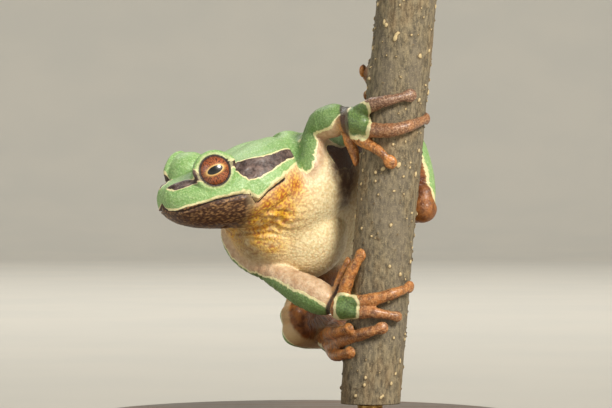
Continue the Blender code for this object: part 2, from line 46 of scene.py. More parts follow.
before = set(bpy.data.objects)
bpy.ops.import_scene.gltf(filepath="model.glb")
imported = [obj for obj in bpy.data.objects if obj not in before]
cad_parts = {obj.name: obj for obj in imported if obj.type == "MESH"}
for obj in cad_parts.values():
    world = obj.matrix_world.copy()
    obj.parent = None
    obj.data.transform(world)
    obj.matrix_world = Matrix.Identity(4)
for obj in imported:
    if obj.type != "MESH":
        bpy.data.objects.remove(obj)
box_at_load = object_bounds()

# Cut length of stem: across and height of its axis, in millimetres like all sizes here
STEM_AXIS = (
    (8.05, 8.1), (8.4, 13.5), (9.1, 21.0), (9.6, 27.5), (10.1, 33.5), (10.7, 39.5), (11.3, 46.0),
    (12.0, 52.5),
    (12.7, 59.5), (13.3, 66.0),
)
STEM_RADIUS = 3.85
STEM_Y = -8.0
STEM_LOW = STEM_AXIS[0][1]
STEM_HIGH = STEM_AXIS[-1][1]
SKIN_GAP = 0.1

# Head axes: forward to the snout, and up out of the crown
HEAD_ORIGIN = Vector((-8.0, -6.8, 35.5))
HEAD_FORWARD = Vector((-0.86, -0.46, -0.21))
HEAD_UP = Vector((-0.18, -0.10, 0.97))
# Head sections: forward position, half width, height above and depth below the axis
HEAD_SECTIONS = (
    (-5.5, 5.8, 5.2, 5.4), (-3.0, 6.6, 5.1, 5.7), (-0.5, 6.9, 4.7, 5.5), (2.0, 6.8, 4.0, 5.2),
    (4.5, 6.3, 3.3, 4.7),
    (7.0, 5.4, 2.8, 4.1), (8.8, 4.4, 2.4, 3.4), (10.1, 3.4, 2.0, 2.6), (10.95, 2.3, 1.5, 1.7),
    (11.4, 1.2, 0.9, 0.9),
)
HEAD_POWER = 2.3
HEAD_GIRTH = 4.8
# Eyes: the ball, the lids round it, and the angle and slope of the lids' edge
EYE_RADIUS = 2.3
EYE_PLACE = (5.5, 4.1, 2.7)
EYE_LOOK = (0.36, 0.91, 0.18)
LID_RADIUS = 2.65
LID_OPENING = 2.25
LID_DEPTH = 1.05
LID_RIM = 0.38
LID_BACK = 0.75
LID_STRETCH = (1.06, 1.0, 1.0)
LID_EDGE = math.radians(52)
LID_SLOPE = math.radians(3.0)
LID_SIDE = math.radians(120)
LID_REACH = 4.2
LID_SKIN = 0.2
LID_SUNK = 0.35

# Trunk: points from neck to vent with half width and half depth
TRUNK_FORWARD = Vector((-0.605, -0.796, 0.007))
TRUNK_UP = Vector((-0.714, 0.547, 0.442))
TRUNK_POINTS = (
    ((-6.4, -5.5, 34.9), 5.4, 3.8), ((-4.6, -3.7, 33.7), 8.2, 6.4), ((-1.4, -0.2, 33.4), 9.7, 6.8),
    ((1.9, 3.5, 33.5), 9.8, 6.7), ((5.0, 7.4, 33.8), 8.2, 6.1), ((7.9, 11.2, 34.1), 6.1, 4.9),
    ((10.2, 14.4, 34.3), 4.1, 3.6), ((11.6, 16.4, 34.4), 2.5, 2.3),
)
TRUNK_TWIST = 2.6
TRUNK_POWER = 2.2
TRUNK_GIRTH = 7.5
TRUNK_DEPTH = 6.0
NECK_DOME = 0.5
VENT_DOME = 0.6
# Fullness of the chest, the belly and the left shoulder: middle and radius
BODY_BALLS = (((-4.2, -3.0, 29.6), 5.1), ((-0.5, -1.5, 29.2), 5.8), ((-2.2, -1.6, 38.9), 3.4))

# Limb pieces: joint positions and radii along each
LIMBS = {
    "upper_arm_left": (
        ((-1.6, -4.6, 35.6), (0.3, -6.9, 37.0), (0.9, -6.2, 39.6), (0.9, -4.5, 41.9)), (2.1, 1.9, 1.5, 1.45),
    ),
    "forearm_left": (
        ((0.9, -4.5, 41.9), (2.1, -5.7, 43.0), (3.6, -6.9, 43.5), (4.8, -7.6, 43.7)), (1.45, 2.0, 2.1, 1.75),
    ),
    "upper_arm_right": (
        ((-5.6, -0.8, 31.9), (-8.8, -0.9, 29.9), (-8.0, -1.9, 27.0), (-4.9, -4.4, 24.7)),
        (1.9, 2.0, 1.85, 1.55),
    ),
    "forearm_right": (
        ((-4.9, -4.4, 24.7), (-2.6, -5.7, 23.4), (-0.3, -6.9, 22.2), (2.0, -8.0, 21.1), (3.5, -8.7, 20.4)),
        (1.5, 1.75, 2.15, 2.05, 1.4),
    ),
    "thigh_left": (
        ((7.6, 11.0, 34.9), (9.0, 10.6, 35.3), (12.3, 4.2, 33.5), (14.8, -2.9, 32.4)), (2.3, 2.9, 2.7, 1.9),
    ),
    "shank_left": (
        ((14.8, -2.4, 34.0), (14.4, 2.2, 36.9), (13.8, 8.5, 40.4), (12.7, 14.6, 43.2)),
        (1.8, 2.0, 1.85, 1.1),
    ),
    "tarsus_left": (
        ((12.7, 14.6, 43.2), (12.1, 11.2, 43.9), (11.6, 7.8, 44.9), (11.1, 4.3, 45.8)),
        (1.1, 1.15, 1.05, 0.95),
    ),
    "thigh_right": (
        ((6.8, 11.6, 32.1), (5.6, 11.6, 29.9), (2.1, 6.0, 24.2), (-1.4, -0.3, 18.6)), (2.3, 2.95, 2.85, 2.0),
    ),
    "shank_right": (
        ((-1.2, -0.4, 16.7), (0.3, 4.0, 16.7), (2.7, 9.8, 16.3), (4.8, 15.1, 16.0)), (2.0, 2.4, 2.2, 1.2),
    ),
    "tarsus_right": (
        ((4.8, 15.1, 16.0), (4.6, 11.2, 16.5), (4.0, 6.8, 16.7), (2.9, 2.8, 16.2)), (1.2, 1.35, 1.35, 1.2),
    ),
}

# Hands and feet: the palm first, then one path a digit, each ending in its disc
DIGITS = {
    "hand_left": (
        (((4.6, -7.2, 43.6), (5.8, -8.8, 43.3), (6.9, -10.0, 43.0)), (1.4, 1.95, 1.45)),
        (
            ((6.2, -9.2, 44.2), (8.0, -11.2, 45.2), (9.8, -12.5, 45.7), (12.8, -12.1, 46.4)),
            (1.0, 0.92, 0.72, 0.58), 0.9,
        ),
        (
            ((6.7, -9.9, 42.5), (8.8, -11.9, 42.1), (11.1, -12.7, 42.2),
             (13.4, -11.6, 42.9), (15.0, -9.4, 43.6)),
            (1.05, 0.95, 0.85, 0.7, 0.55), 0.8,
        ),
        (
            ((5.9, -9.0, 42.6), (6.5, -9.8, 41.2), (7.9, -11.4, 40.3),
             (9.2, -12.3, 39.4), (10.4, -12.6, 38.2)),
            (1.0, 0.85, 0.72, 0.6, 0.5), 0.88,
        ),
        (
            ((5.2, -8.0, 42.7), (5.4, -8.0, 41.1), (5.9, -8.1, 39.7), (6.2, -8.2, 38.5)),
            (0.9, 0.8, 0.68, 0.55), 0.75,
        ),
    ),
    "hand_right": (
        (((3.3, -8.8, 20.5), (4.6, -9.9, 20.2), (5.6, -10.9, 20.0)), (1.35, 1.75, 1.3)),
        (
            ((4.5, -9.9, 21.2), (4.9, -10.6, 22.7), (5.7, -11.0, 24.7), (6.7, -11.4, 26.6)),
            (1.0, 0.85, 0.72, 0.6), 0.88,
        ),
        (
            ((3.8, -9.0, 21.3), (4.1, -8.7, 22.7), (4.6, -8.6, 24.3), (5.2, -8.6, 25.6)),
            (0.9, 0.75, 0.62, 0.5), 0.75,
        ),
        (
            ((5.2, -10.8, 20.8), (7.0, -12.1, 21.0), (9.0, -12.7, 21.4),
             (11.2, -12.4, 22.1), (12.8, -10.9, 22.7)),
            (1.0, 0.9, 0.78, 0.68, 0.55), 0.85,
        ),
        (
            ((5.2, -10.8, 19.6), (6.7, -12.1, 19.6), (8.4, -12.7, 19.6), (11.2, -12.1, 19.1)),
            (0.95, 0.85, 0.7, 0.58), 0.75,
        ),
    ),
    "foot_left": (
        (((11.1, 4.8, 45.7), (10.9, 2.6, 46.4), (10.6, 0.2, 46.9)), (1.0, 1.4, 1.2)),
        (
            ((10.8, 1.2, 46.8), (9.8, -0.6, 47.5), (8.4, -3.0, 48.4), (7.2, -6.3, 49.7)),
            (1.0, 0.85, 0.7, 0.58), 0.9,
        ),
        (
            ((10.6, 1.0, 46.4), (9.6, -0.9, 46.3), (8.6, -2.6, 46.4), (7.9, -4.6, 46.7)),
            (0.9, 0.8, 0.65, 0.55), 0.8,
        ),
        (
            ((10.9, 1.2, 47.1), (10.9, -1.0, 48.7), (10.8, -2.8, 50.1), (10.6, -3.6, 51.7)),
            (0.9, 0.8, 0.65, 0.55), 0.8,
        ),
        (
            ((11.1, 1.0, 46.5), (12.0, -1.4, 46.7), (12.9, -3.1, 47.1), (13.9, -4.5, 47.7)),
            (0.85, 0.7, 0.55, 0.5), 0.75,
        ),
        (
            ((11.1, 1.0, 46.1), (11.8, -1.6, 45.1), (12.4, -3.2, 44.1), (13.0, -4.1, 43.3)),
            (0.8, 0.65, 0.55, 0.45), 0.7,
        ),
    ),
    "foot_right": (
        (((2.8, 3.2, 16.1), (2.9, 0.8, 15.7), (3.2, -1.8, 15.5)), (1.15, 1.55, 1.3)),
        (
            ((3.2, -0.6, 15.2), (3.6, -4.2, 15.3), (5.0, -9.0, 16.1), (7.5, -12.3, 17.1), (9.3, -12.8, 17.7)),
            (1.2, 1.0, 0.85, 0.72, 0.58), 0.85,
        ),
        (
            ((3.3, -0.8, 16.0), (2.9, -4.6, 16.7), (3.7, -8.4, 17.0), (5.2, -11.2, 17.5)),
            (1.05, 0.9, 0.75, 0.6), 0.85,
        ),
        (
            ((3.4, -0.6, 14.7), (3.6, -4.4, 14.2), (4.1, -8.4, 14.1), (5.4, -11.3, 14.6)),
            (1.1, 0.95, 0.75, 0.6), 0.85,
        ),
        (
            ((3.8, -0.6, 15.0), (5.8, -2.6, 14.3), (7.6, -3.4, 13.6), (9.2, -3.5, 13.0)),
            (0.85, 0.7, 0.55, 0.5), 0.75,
        ),
        (
            ((3.7, -0.8, 15.8), (5.4, -3.0, 16.5), (6.9, -3.8, 17.2), (8.4, -3.8, 18.0)),
            (0.8, 0.65, 0.55, 0.45), 0.7,
        ),
    ),
}
FLESH_NODES = ["trunk", "head"] + list(LIMBS) + list(DIGITS)
# How much slimmer than its path a digit is, and its disc's thickness and cushion
DIGIT_SLIM = 0.04
PAD_THICKNESS = 0.42
PAD_STRETCH = (0.95, 1.1)
CUSHION_SHARE = 0.62
CUSHION_BACK = 0.16
# Webs: pairs of toes of a foot and how far out each reaches, then thickness, hollow of the edge and steps
FOOT_WEBS = ((1, 2, 0.45), (1, 3, 0.45), (4, 1, 0.3), (5, 4, 0.3))
WEB_THICKNESS = 0.16
WEB_HOLLOW = 0.22
WEB_STEPS = 8

# Mesh density of the skin
RING_SIDES = 24
TRUNK_SIDES = 48
HEAD_SIDES = 64
PATH_STEPS = 6
CAP_STEPS = 5
VOXEL = 0.16
# Smoothing: rounds and strengths that keep thin parts, then the easing of the joints and of the whole
STEADY_ROUNDS = 7
STEADY_PULL = 0.6
STEADY_PUSH = -0.62
EASING_ROUNDS = 48
EASING_PULL = 0.9
LAST_PULL = 0.4
# Easing where each kind of limb leaves the part before it: reach and pull
JOINT_EASING = {
    "upper_arm": (2.6, 1.0), "thigh": (3.4, 1.0), "forearm": (1.1, 0.35), "shank": (1.6, 0.45),
    "tarsus": (0.9, 0.3),
}
NECK_EASING = 2.6
# The hollow between crown and left shoulder, eased away: middle and reach
SHOULDER_HOLLOW = ((-0.7, -3.6, 41.3), 3.4)

# Markings of the head: forward, out and up of its origin
STRIPE_TOP = (
    (10.7, 1.0, 1.8), (9.8, 1.2, 2.15), (9.2, 1.7, 2.2), (8.6, 1.9, 2.35), (8.2, 3.5, 2.65),
    (7.8, 4.7, 2.85),
    (5.6, 5.0, 3.6), (3.9, 5.5, 3.5), (2.4, 5.5, 3.6), (1.1, 5.8, 3.6), (-0.4, 6.1, 3.4), (-1.8, 6.0, 3.4),
    (-3.3, 5.4, 3.4), (-4.5, 5.0, 3.4), (-5.4, 4.7, 3.3), (-7.2, 4.8, 2.9),
)
STRIPE_LOW = (
    (-7.2, 5.1, 2.5), (-5.0, 5.5, 2.4), (-3.8, 5.9, 2.4), (-2.5, 6.3, 2.0), (-1.2, 6.6, 1.6),
    (-0.2, 6.7, 1.35),
    (0.8, 6.8, 1.0), (1.6, 6.7, 0.95), (2.2, 6.6, 1.1), (2.8, 6.2, 1.7), (3.0, 5.7, 2.3), (3.8, 5.4, 2.6),
    (5.6, 5.6, 2.4), (7.7, 4.95, 2.1), (8.2, 4.05, 1.95), (8.7, 3.55, 1.75), (9.2, 3.2, 1.6),
    (9.8, 2.7, 1.35),
    (10.5, 2.0, 1.2),
)
MOUTH = (
    (12.2, 0.0, -1.2), (11.5, 0.6, -1.3), (11.2, 1.6, -1.3), (10.4, 2.7, -1.2), (9.4, 3.5, -1.05),
    (8.4, 4.4, -0.9),
    (7.3, 5.1, -0.7), (6.1, 5.5, -0.6), (4.9, 5.8, -0.6), (3.8, 6.5, -0.6), (2.3, 6.7, -0.7),
)
GREEN_LOW = (
    (14.0, 0.0, -0.6), (11.6, 1.0, -0.7), (10.9, 2.2, -0.75), (9.8, 3.7, -0.6), (8.5, 4.9, -0.4),
    (6.8, 5.7, -0.25),
    (5.0, 6.4, -0.15), (3.3, 6.6, -0.15), (2.4, 6.7, -0.25), (2.15, 6.6, -0.9), (1.85, 6.5, -1.45),
    (1.5, 6.5, -1.5),
    (1.1, 6.6, -1.0), (0.6, 6.75, -0.45), (-0.4, 6.8, 0.1), (-2.6, 6.6, 0.8), (-5.2, 5.8, 1.8),
    (-9.0, 5.0, 2.5),
)
GREEN_TOP = [(-9.0, 40.0), (14.0, 40.0)]
# Lines and places of the head's relief, in the same way
FLAP = (
    (2.0, 6.7, -0.8), (1.6, 6.6, -1.3), (1.1, 6.6, -0.9), (0.4, 6.8, -0.4), (-0.9, 6.8, 0.0),
    (-2.4, 6.7, 0.5),
)
CORNER = ((2.5, 6.7, -0.7), (2.2, 6.6, -1.4), (1.8, 6.5, -2.0))
CREASE = ((1.5, 6.4, -2.0), (0.8, 6.6, -1.5), (0.0, 6.8, -0.9), (-1.2, 6.8, -0.4), (-2.6, 6.7, 0.1))
RIDGE = ((10.6, 1.1, 2.0), (9.2, 2.2, 2.5), (8.2, 3.9, 3.0))
FOLD = ((3.8, 5.4, 3.6), (2.0, 5.5, 3.65), (-0.4, 6.1, 3.45), (-3.3, 5.4, 3.45), (-5.6, 4.7, 3.35))
FLAP_TIP = (1.7, 6.5, -1.3)
DRUM = (1.8, 6.6, 1.9)
DRUM_RING = 0.85
DRUM_RISE = 0.10
DRUM_SINK = 0.12
NOSTRIL = (10.5, 1.5, 1.65)
NOSTRIL_RIM = 0.38
NOSTRIL_SLANT = 0.8
NOSTRIL_RISE = 0.14
NOSTRIL_DEPTH = 0.50
# Height and width of each: the mouth's line and the lips above and below it, then the other lines
MOUTH_RELIEF = ((0.0, -0.30, 0.16), (0.5, 0.16, 0.42), (-0.5, 0.10, 0.35))
HEAD_RELIEF = (
    (FLAP, 0.36, 0.5), (CREASE, -0.30, 0.22), (CORNER, -0.18, 0.2), (FOLD, 0.30, 0.55), (RIDGE, 0.14, 0.5),
)
# Lower edge of the jaw as forward and up, with its furrow and the folds of loose skin below it
COLLAR = ((4.2, -4.6), (1.8, -4.0), (-0.5, -3.7), (-3.0, -2.4))
COLLAR_DEPTH = 0.35
COLLAR_WIDTH = 0.45
FOLD_SPACING = 0.95
FOLD_HEIGHT = 0.2

# The flank's stripe, along the trunk and round it, from the head's stripe to the groin
FLANK_LEFT = (
    (0.0, 5.7), (3.0, 4.6), (5.5, 1.6), (7.5, -2.4), (9.5, -3.8), (14.0, -2.9), (20.0, -1.6), (26.5, 0.6),
)
FLANK_RIGHT = (
    (1.0, 10.2), (3.5, 8.6), (6.0, 4.4), (8.0, 0.2), (10.5, -2.4), (15.0, -2.6), (20.0, -1.6), (26.5, 0.6),
)
FLANK_WIDTHS = (0.6, 0.7, 0.9, 1.15, 1.2, 0.95, 0.6, 0.0)
FLANK_CREAM = 0.25
GROIN_LOOP = ((22.5, -0.9), (21.2, 1.5), (19.2, 2.8), (17.6, 2.6))
GROIN_WIDTH = 0.45
# Forms under the skin of the back: the hump at the hips, then lines along and out with height and width
HUMP_PLACE = 15.0
HUMP_HEIGHT = 0.7
BACK_LINES = (
    (((12.5, 5.0), (17.0, 4.0), (22.0, 2.4), (26.0, 1.3)), 0.5, 1.5),
    (((4.5, 2.4), (7.0, 4.8), (9.5, 6.2)), 0.3, 1.7),
    (((16.5, 2.4), (21.0, 1.7), (26.0, 0.8)), -0.22, 1.2),
)
SPINE_GROOVE = 0.22
SPINE_RIDGE = 0.3
# Size and height of the grains of the belly and of the jaw
BELLY_GRAIN = (0.3, 0.075)
JAW_GRAIN = (0.27, 0.06)
JAW_STREAK = (0.5, 1.0, 1.25)

# Dark skin with painted shade in the hollow behind the left arm, and painted shade beside it: middle and
# reach
ARMPIT_SPOTS = (((5.2, -5.4, 37.8), 2.8), ((4.9, -5.4, 35.4), 1.7), ((5.2, -5.2, 33.2), 0.9))
ARMPIT_PAINTED_SHADE = ((4.5, -4.5, 36.5), 3.4)
# Patches of colour of the throat and chest: forward, out and up of the head's origin, and reach
THROAT_SPOTS = {
    "rust": (
        ((-1.9, 6.5, -1.8), 2.3), ((0.2, 6.3, -2.6), 1.7), ((-4.1, 6.2, -1.0), 2.0), ((1.6, 5.4, -3.2), 1.3),
    ),
    "yellow": (
        ((-0.9, 3.3, -5.0), 2.9), ((1.4, 4.5, -4.3), 2.3), ((-2.0, 4.7, -4.4), 2.8), ((0.4, 2.8, -6.1), 2.7),
        ((-0.8, 3.8, -7.9), 2.4),
    ),
    "brown": (
        ((1.9, 1.0, -6.3), 2.0), ((1.8, 2.4, -4.8), 1.2), ((0.4, 0.6, -8.0), 2.2), ((-2.5, 0.5, -8.5), 1.4),
        ((-0.4, 2.6, -9.2), 1.3),
    ),
}
# Each limb's outer side, and the half width in degrees of its green strip at the start and the end
OUTER_SIDES = {
    "upper_arm_left": ((-0.6, -0.75, 0.15), 29, 66),
    "forearm_left": ((-0.3, -0.4, 0.85), 84, 92),
    "upper_arm_right": ((-0.75, 0.5, -0.4), 50, 56),
    "forearm_right": ((-0.35, -0.25, -0.9), 60, 66),
    "thigh_left": ((0.45, 0.5, 0.7), 60, 48),
    "shank_left": ((0.75, 0.4, 0.5), 52, 62),
    "tarsus_left": ((0.4, 0.2, 0.9), 70, 60),
    "thigh_right": ((-0.85, 0.45, -0.2), 50, 50),
    "shank_right": ((-0.65, 0.35, -0.65), 52, 62),
    "tarsus_right": ((-0.3, 0.3, -0.9), 70, 60),
}
# Green patches on the backs of the hands and feet: middle and half size each way
HAND_PATCHES = {
    "hand_left": ((6.45, -10.4, 43.45), (1.3, 3.0, 2.05)),
    "hand_right": ((4.95, -11.2, 20.05), (1.35, 3.0, 1.6)),
    "foot_left": ((11.3, 1.6, 47.8), (1.6, 2.6, 1.4)),
    "foot_right": ((3.0, 1.2, 14.2), (1.6, 2.6, 1.4)),
}
# The dark band across each wrist: its middle, the direction across it and its half width
WRISTS = (((5.15, -8.3, 44.0), (0.93, -0.3, 0.22), 0.8), ((3.5, -8.8, 20.4), (0.85, -0.4, -0.35), 0.42))
WRIST_DEPTH = 0.2
# Creases near a limb's ends, knuckles along a digit, and fine wrinkles: shares along, height and width
LIMB_CREASES = ((0.04, 0.96), -0.12, 0.035)
KNUCKLES = ((0.42, 0.68), 0.06, 0.05)
LIMB_WRINKLES = (0.025, 95.0)
DIGIT_WRINKLES = (0.012, 70.0)
# How brown each digit is; the rest are orange
DIGIT_TONES = {
    "hand_left_1": 1.0, "hand_left_2": 0.7, "hand_right_3": 0.3, "hand_right_4": 0.5, "foot_right_1": 0.4,
}
DIGIT_TONE = 0.12
# Width of the pale band beside the green on each leg
PALE_BANDS = {"left": 0.5, "right": 2.2}
# How far one part's markings run into the next, and a value for plain skin far from any mark
MARK_BLEND = 0.28
NO_DARK = -1.5
FAR_MARK = 3.0
FAR = 1e3

# Bark: columns, steps, mean radius, warts, and a bud's turn and height
BARK_COLUMNS = 200
BARK_STEP = 0.16
BARK_RADIUS = 3.78
BARK_ROUND = 3.8
# Bark's ridges: stretch along the stem, size, height and salt
BARK_RIDGES = ((0.16, 0.5, 0.035, 51), (0.16, 0.24, 0.025, 52), (0.3, 2.2, 0.09, 53), (0.6, 0.36, 0.045, 54))
WART_COUNT = 760
WART_REACH = 1.4
WART_SMALLEST = 0.08
WART_SPREAD = 0.2
WART_MARGIN = 0.8
WART_LIFT = 0.28
BUD_PLACE = (math.radians(188), 49.3)
BUD_LIFT = 0.75
BUD_SIZE = (0.8, 1.15)
CUT_STEPS = 26
# Stand: profile of the base as radius and height, and the rod
BASE_STEPS = (
    (0.0, 0.0), (24.0, 0.0), (29.6, 0.0), (30.1, 0.12), (30.5, 0.5), (30.9, 1.1), (30.96, 1.9), (30.7, 2.8),
    (30.1, 3.5), (29.7, 3.75), (29.5, 3.95), (29.3, 4.3), (29.15, 4.8), (28.8, 5.35), (28.3, 5.75),
    (27.8, 5.93),
    (27.2, 5.97), (14.0, 5.97), (0.0, 5.97),
)
ROD_LOW = 5.9
ROD_HIGH = 8.0
ROD_PLACE = (8.0, -8.0)
ROD_RADIUS = 1.57
ROD_EDGE = 1.5
ROD_BEVEL = 0.3
# Eye: density, corneal bulge, and the pupil's tilt and half sizes
EYE_COLUMNS = 160
EYE_ROWS = 110
EYE_BULGE = 0.012
EYE_SLACK = 0.03
PUPIL_TILT = math.radians(14)
PUPIL_LONG = 0.95
PUPIL_TALL = 0.46


# Closed bodies of the flesh

def bridge(bm, rings):
    """Skin a list of closed rings and cap both ends."""
    for low, high in zip(rings, rings[1:]):
        count = len(low)
        for index in range(count):
            after = (index + 1) % count
            bm.faces.new((low[index], low[after], high[after], high[index]))
    bm.faces.new(list(reversed(rings[0])))
    bm.faces.new(rings[-1])


def section(bm, centre, side, up, half, above, below, power=2.0, sides=RING_SIDES):
    """One closed ring, a superellipse with its own height above and below."""
    ring = []
    for index in range(sides):
        angle = 2.0 * math.pi * index / sides
        across = math.copysign(abs(math.cos(angle)) ** (2.0 / power), math.cos(angle)) * half
        height = math.copysign(abs(math.sin(angle)) ** (2.0 / power), math.sin(angle))
        height *= above if height > 0.0 else below
        ring.append(bm.verts.new(centre + side * across + up * height))
    return ring


def smooth_rows(rows, steps=PATH_STEPS):
    """Catmull-Rom rows of numbers through the given ones."""
    fine = []
    for index in range(len(rows) - 1):
        before = rows[max(index - 1, 0)]
        start = rows[index]
        end = rows[index + 1]
        after = rows[min(index + 2, len(rows) - 1)]
        for step in range(steps):
            t, t2, t3 = ((step / steps) ** power for power in (1, 2, 3))
            shares = (-t + 2 * t2 - t3, 2 - 5 * t2 + 3 * t3, t + 4 * t2 - 3 * t3, t3 - t2)
            columns = zip(before, start, end, after)
            fine.append([0.5 * sum(share * part for share, part in zip(shares, parts)) for parts in columns])
    fine.append(list(rows[-1]))
    return fine


def cap_angles():
    """Turns of the rings of a domed end, from its rim to near its tip."""
    return [0.5 * math.pi * step / (CAP_STEPS + 0.5) for step in range(1, CAP_STEPS + 1)]


def tube(bm, points, radii, slim=0.0, steps=PATH_STEPS, sides=RING_SIDES):
    """A round limb along a smooth path, with domed ends."""
    rows = smooth_rows([(*point, radius) for point, radius in zip(points, radii)], steps)
    centres = [Vector(row[:3]) for row in rows]
    last = len(rows) - 1
    side = (centres[1] - centres[0]).normalized().orthogonal().normalized()
    rings = []
    for index, centre in enumerate(centres):
        tangent = (centres[min(index + 1, last)] - centres[max(index - 1, 0)]).normalized()
        side = (side - tangent * side.dot(tangent)).normalized()
        up = tangent.cross(side)
        radius = rows[index][3] - slim
        turns = [(0.0, 0.0)]
        if index == 0:
            turns = [(angle, -1.0) for angle in reversed(cap_angles())] + turns
        if index == last:
            turns += [(angle, 1.0) for angle in cap_angles()]
        for angle, way in turns:
            share = radius * math.cos(angle)
            middle = centre + tangent * way * radius * math.sin(angle)
            rings.append(section(bm, middle, side, up, share, share, share, sides=sides))
    bridge(bm, rings)


def ball(bm, centre, radius, scale=(1.0, 1.0, 1.0), axes=None, segments=64, rings=40):
    """An ellipsoid, its axes turned by a 3x3 matrix where one is given."""
    turn = axes.to_4x4() if axes is not None else Matrix.Identity(4)
    place = Matrix.Translation(centre) @ turn @ Matrix.Diagonal((*scale, 1.0))
    bmesh.ops.create_uvsphere(bm, u_segments=segments, v_segments=rings, radius=radius, matrix=place)


def axes_of(forward, up):
    """A 3x3 matrix whose columns are forward, left and up."""
    ahead = forward.normalized()
    left = up.cross(ahead).normalized()
    return Matrix((ahead, left, ahead.cross(left))).transposed()


HEAD_AXES = axes_of(HEAD_FORWARD, HEAD_UP)
TRUNK_AXES = axes_of(TRUNK_FORWARD, TRUNK_UP)


def trunk_rows(steps):
    """The trunk's smooth path: middle, half width, half depth, left, up and forward at each row."""
    rows = smooth_rows([(*point, half, depth) for point, half, depth in TRUNK_POINTS], steps)
    start = HEAD_AXES.to_quaternion()
    end = TRUNK_AXES.to_quaternion()
    last = len(rows) - 1
    found = []
    for index, row in enumerate(rows):
        ahead = Vector(rows[max(index - 1, 0)][:3]) - Vector(rows[min(index + 1, last)][:3])
        ahead.normalize()
        turn = start.slerp(end, min(1.0, index / last * TRUNK_TWIST)).to_matrix()
        up = turn.col[2] - ahead * ahead.dot(turn.col[2])
        up.normalize()
        found.append((Vector(row[:3]), row[3], row[4], up.cross(ahead), up, ahead))
    return found


def trunk_ring(bm, row, angle=0.0, reach=0.0):
    """One ring of the trunk, or of the dome that reaches beyond it."""
    centre, half, depth, side, up, ahead = row
    share = math.cos(angle)
    middle = centre + ahead * half * reach * math.sin(angle)
    return section(bm, middle, side, up, half * share, depth * share, depth * share, TRUNK_POWER, TRUNK_SIDES)


def trunk_shell(bm):
    """The trunk, its sections turning from the head's axes to the hips' axes."""
    rows = trunk_rows(4)
    rings = [trunk_ring(bm, rows[0], angle, NECK_DOME) for angle in reversed(cap_angles())]
    rings += [trunk_ring(bm, row) for row in rows]
    rings += [trunk_ring(bm, rows[-1], angle, -VENT_DOME) for angle in cap_angles()]
    bridge(bm, rings)


def head_shell(bm):
    """The head, from the neck to the rounded snout."""
    ahead, left, above = HEAD_AXES.col
    rings = []
    for forward, half, high, low in smooth_rows(HEAD_SECTIONS, 4):
        middle = HEAD_ORIGIN + ahead * forward
        rings.append(section(bm, middle, left, above, half, high, low, HEAD_POWER, HEAD_SIDES))
    bridge(bm, rings)


def lid_places(side):
    """Eyeball centre and look direction for side +1 (left) or -1 (right)."""
    forward, out, up = EYE_PLACE
    look = HEAD_AXES @ Vector((EYE_LOOK[0], EYE_LOOK[1] * side, EYE_LOOK[2])).normalized()
    return HEAD_ORIGIN + HEAD_AXES @ Vector((forward, out * side, up)), look


def lid_rim(side, count=16):
    """Points round the eye's opening, for the lids' edge."""
    centre, look = lid_places(side)
    across = (HEAD_AXES.col[0] - look * look.dot(HEAD_AXES.col[0])).normalized()
    above = look.cross(across)
    turns = [2.0 * math.pi * step / count for step in range(count + 1)]
    around = [(across * math.cos(turn) + above * math.sin(turn)) * LID_OPENING for turn in turns]
    return [centre + look * LID_DEPTH + away for away in around]


def web(bm, first, second, reach):
    """A thin web between two digits, out to a share of their length, with a hollow free edge."""
    one = [Vector(row) for row in smooth_rows(first, 4)]
    other = [Vector(row) for row in smooth_rows(second, 4)]
    ahead = (one[-1] - one[0]).normalized()
    rings = []
    for step in range(WEB_STEPS + 1):
        share = step / WEB_STEPS
        a = one[int(round(share * int((len(one) - 1) * reach)))]
        b = other[int(round(share * int((len(other) - 1) * reach)))]
        across = b - a
        normal = across.cross(ahead).normalized() * WEB_THICKNESS
        middle = (a + b) * 0.5 - ahead * across.length * WEB_HOLLOW * share
        upper = [bm.verts.new(place + normal) for place in (a, middle, b)]
        rings.append(upper + [bm.verts.new(place - normal) for place in (b, middle, a)])
    bridge(bm, rings)


def stem_centres(heights):
    """How far across the stem's axis is at each height."""
    across, levels = zip(*STEM_AXIS)
    return np.interp(heights, levels, across)


def disc_pad(bm, points, disc):
    """The round adhesive disc at a digit's tip, with a low cushion behind it."""
    tip = Vector(points[-1])
    outward = tip - Vector((float(stem_centres(tip.z)), STEM_Y, tip.z))
    outward.normalize()
    along = tip - Vector(points[-2])
    along -= outward * along.dot(outward)
    axes = axes_of(outward, along)
    ball(bm, tip, disc, (PAD_THICKNESS / disc, *PAD_STRETCH), axes, 28, 16)
    ball(bm, tip + axes.col[0] * CUSHION_BACK, disc * CUSHION_SHARE, (0.5, *PAD_STRETCH), axes, 20, 12)


def flesh_shells():
    """All the closed bodies of the flesh, which the remesh joins."""
    bm = bmesh.new()
    trunk_shell(bm)
    for middle, radius in BODY_BALLS:
        ball(bm, Vector(middle), radius)
    head_shell(bm)
    for side in (1, -1):
        centre, look = lid_places(side)
        ball(bm, centre - look * LID_BACK, LID_RADIUS, LID_STRETCH, HEAD_AXES, 48, 28)
        rim = lid_rim(side)
        tube(bm, rim, [LID_RIM] * len(rim), steps=3, sides=12)
    for points, radii in LIMBS.values():
        tube(bm, points, radii)
    for name, paths in DIGITS.items():
        tube(bm, *paths[0])
        for points, radii, disc in paths[1:]:
            tube(bm, points, radii, slim=DIGIT_SLIM)
            disc_pad(bm, points, disc)
        if name.startswith("foot"):
            for first, second, reach in FOOT_WEBS:
                web(bm, paths[first][0], paths[second][0], reach)
    return bm


# Numbers on arrays of points

def ramp(values, low, high):
    """A smooth step from 0 at low to 1 at high."""
    share = np.clip((values - low) / (high - low), 0.0, 1.0)
    return share * share * (3.0 - 2.0 * share)


def bell(distance, width):
    """1 at distance 0, falling away over the width."""
    return np.exp(-(distance / width) ** 2)


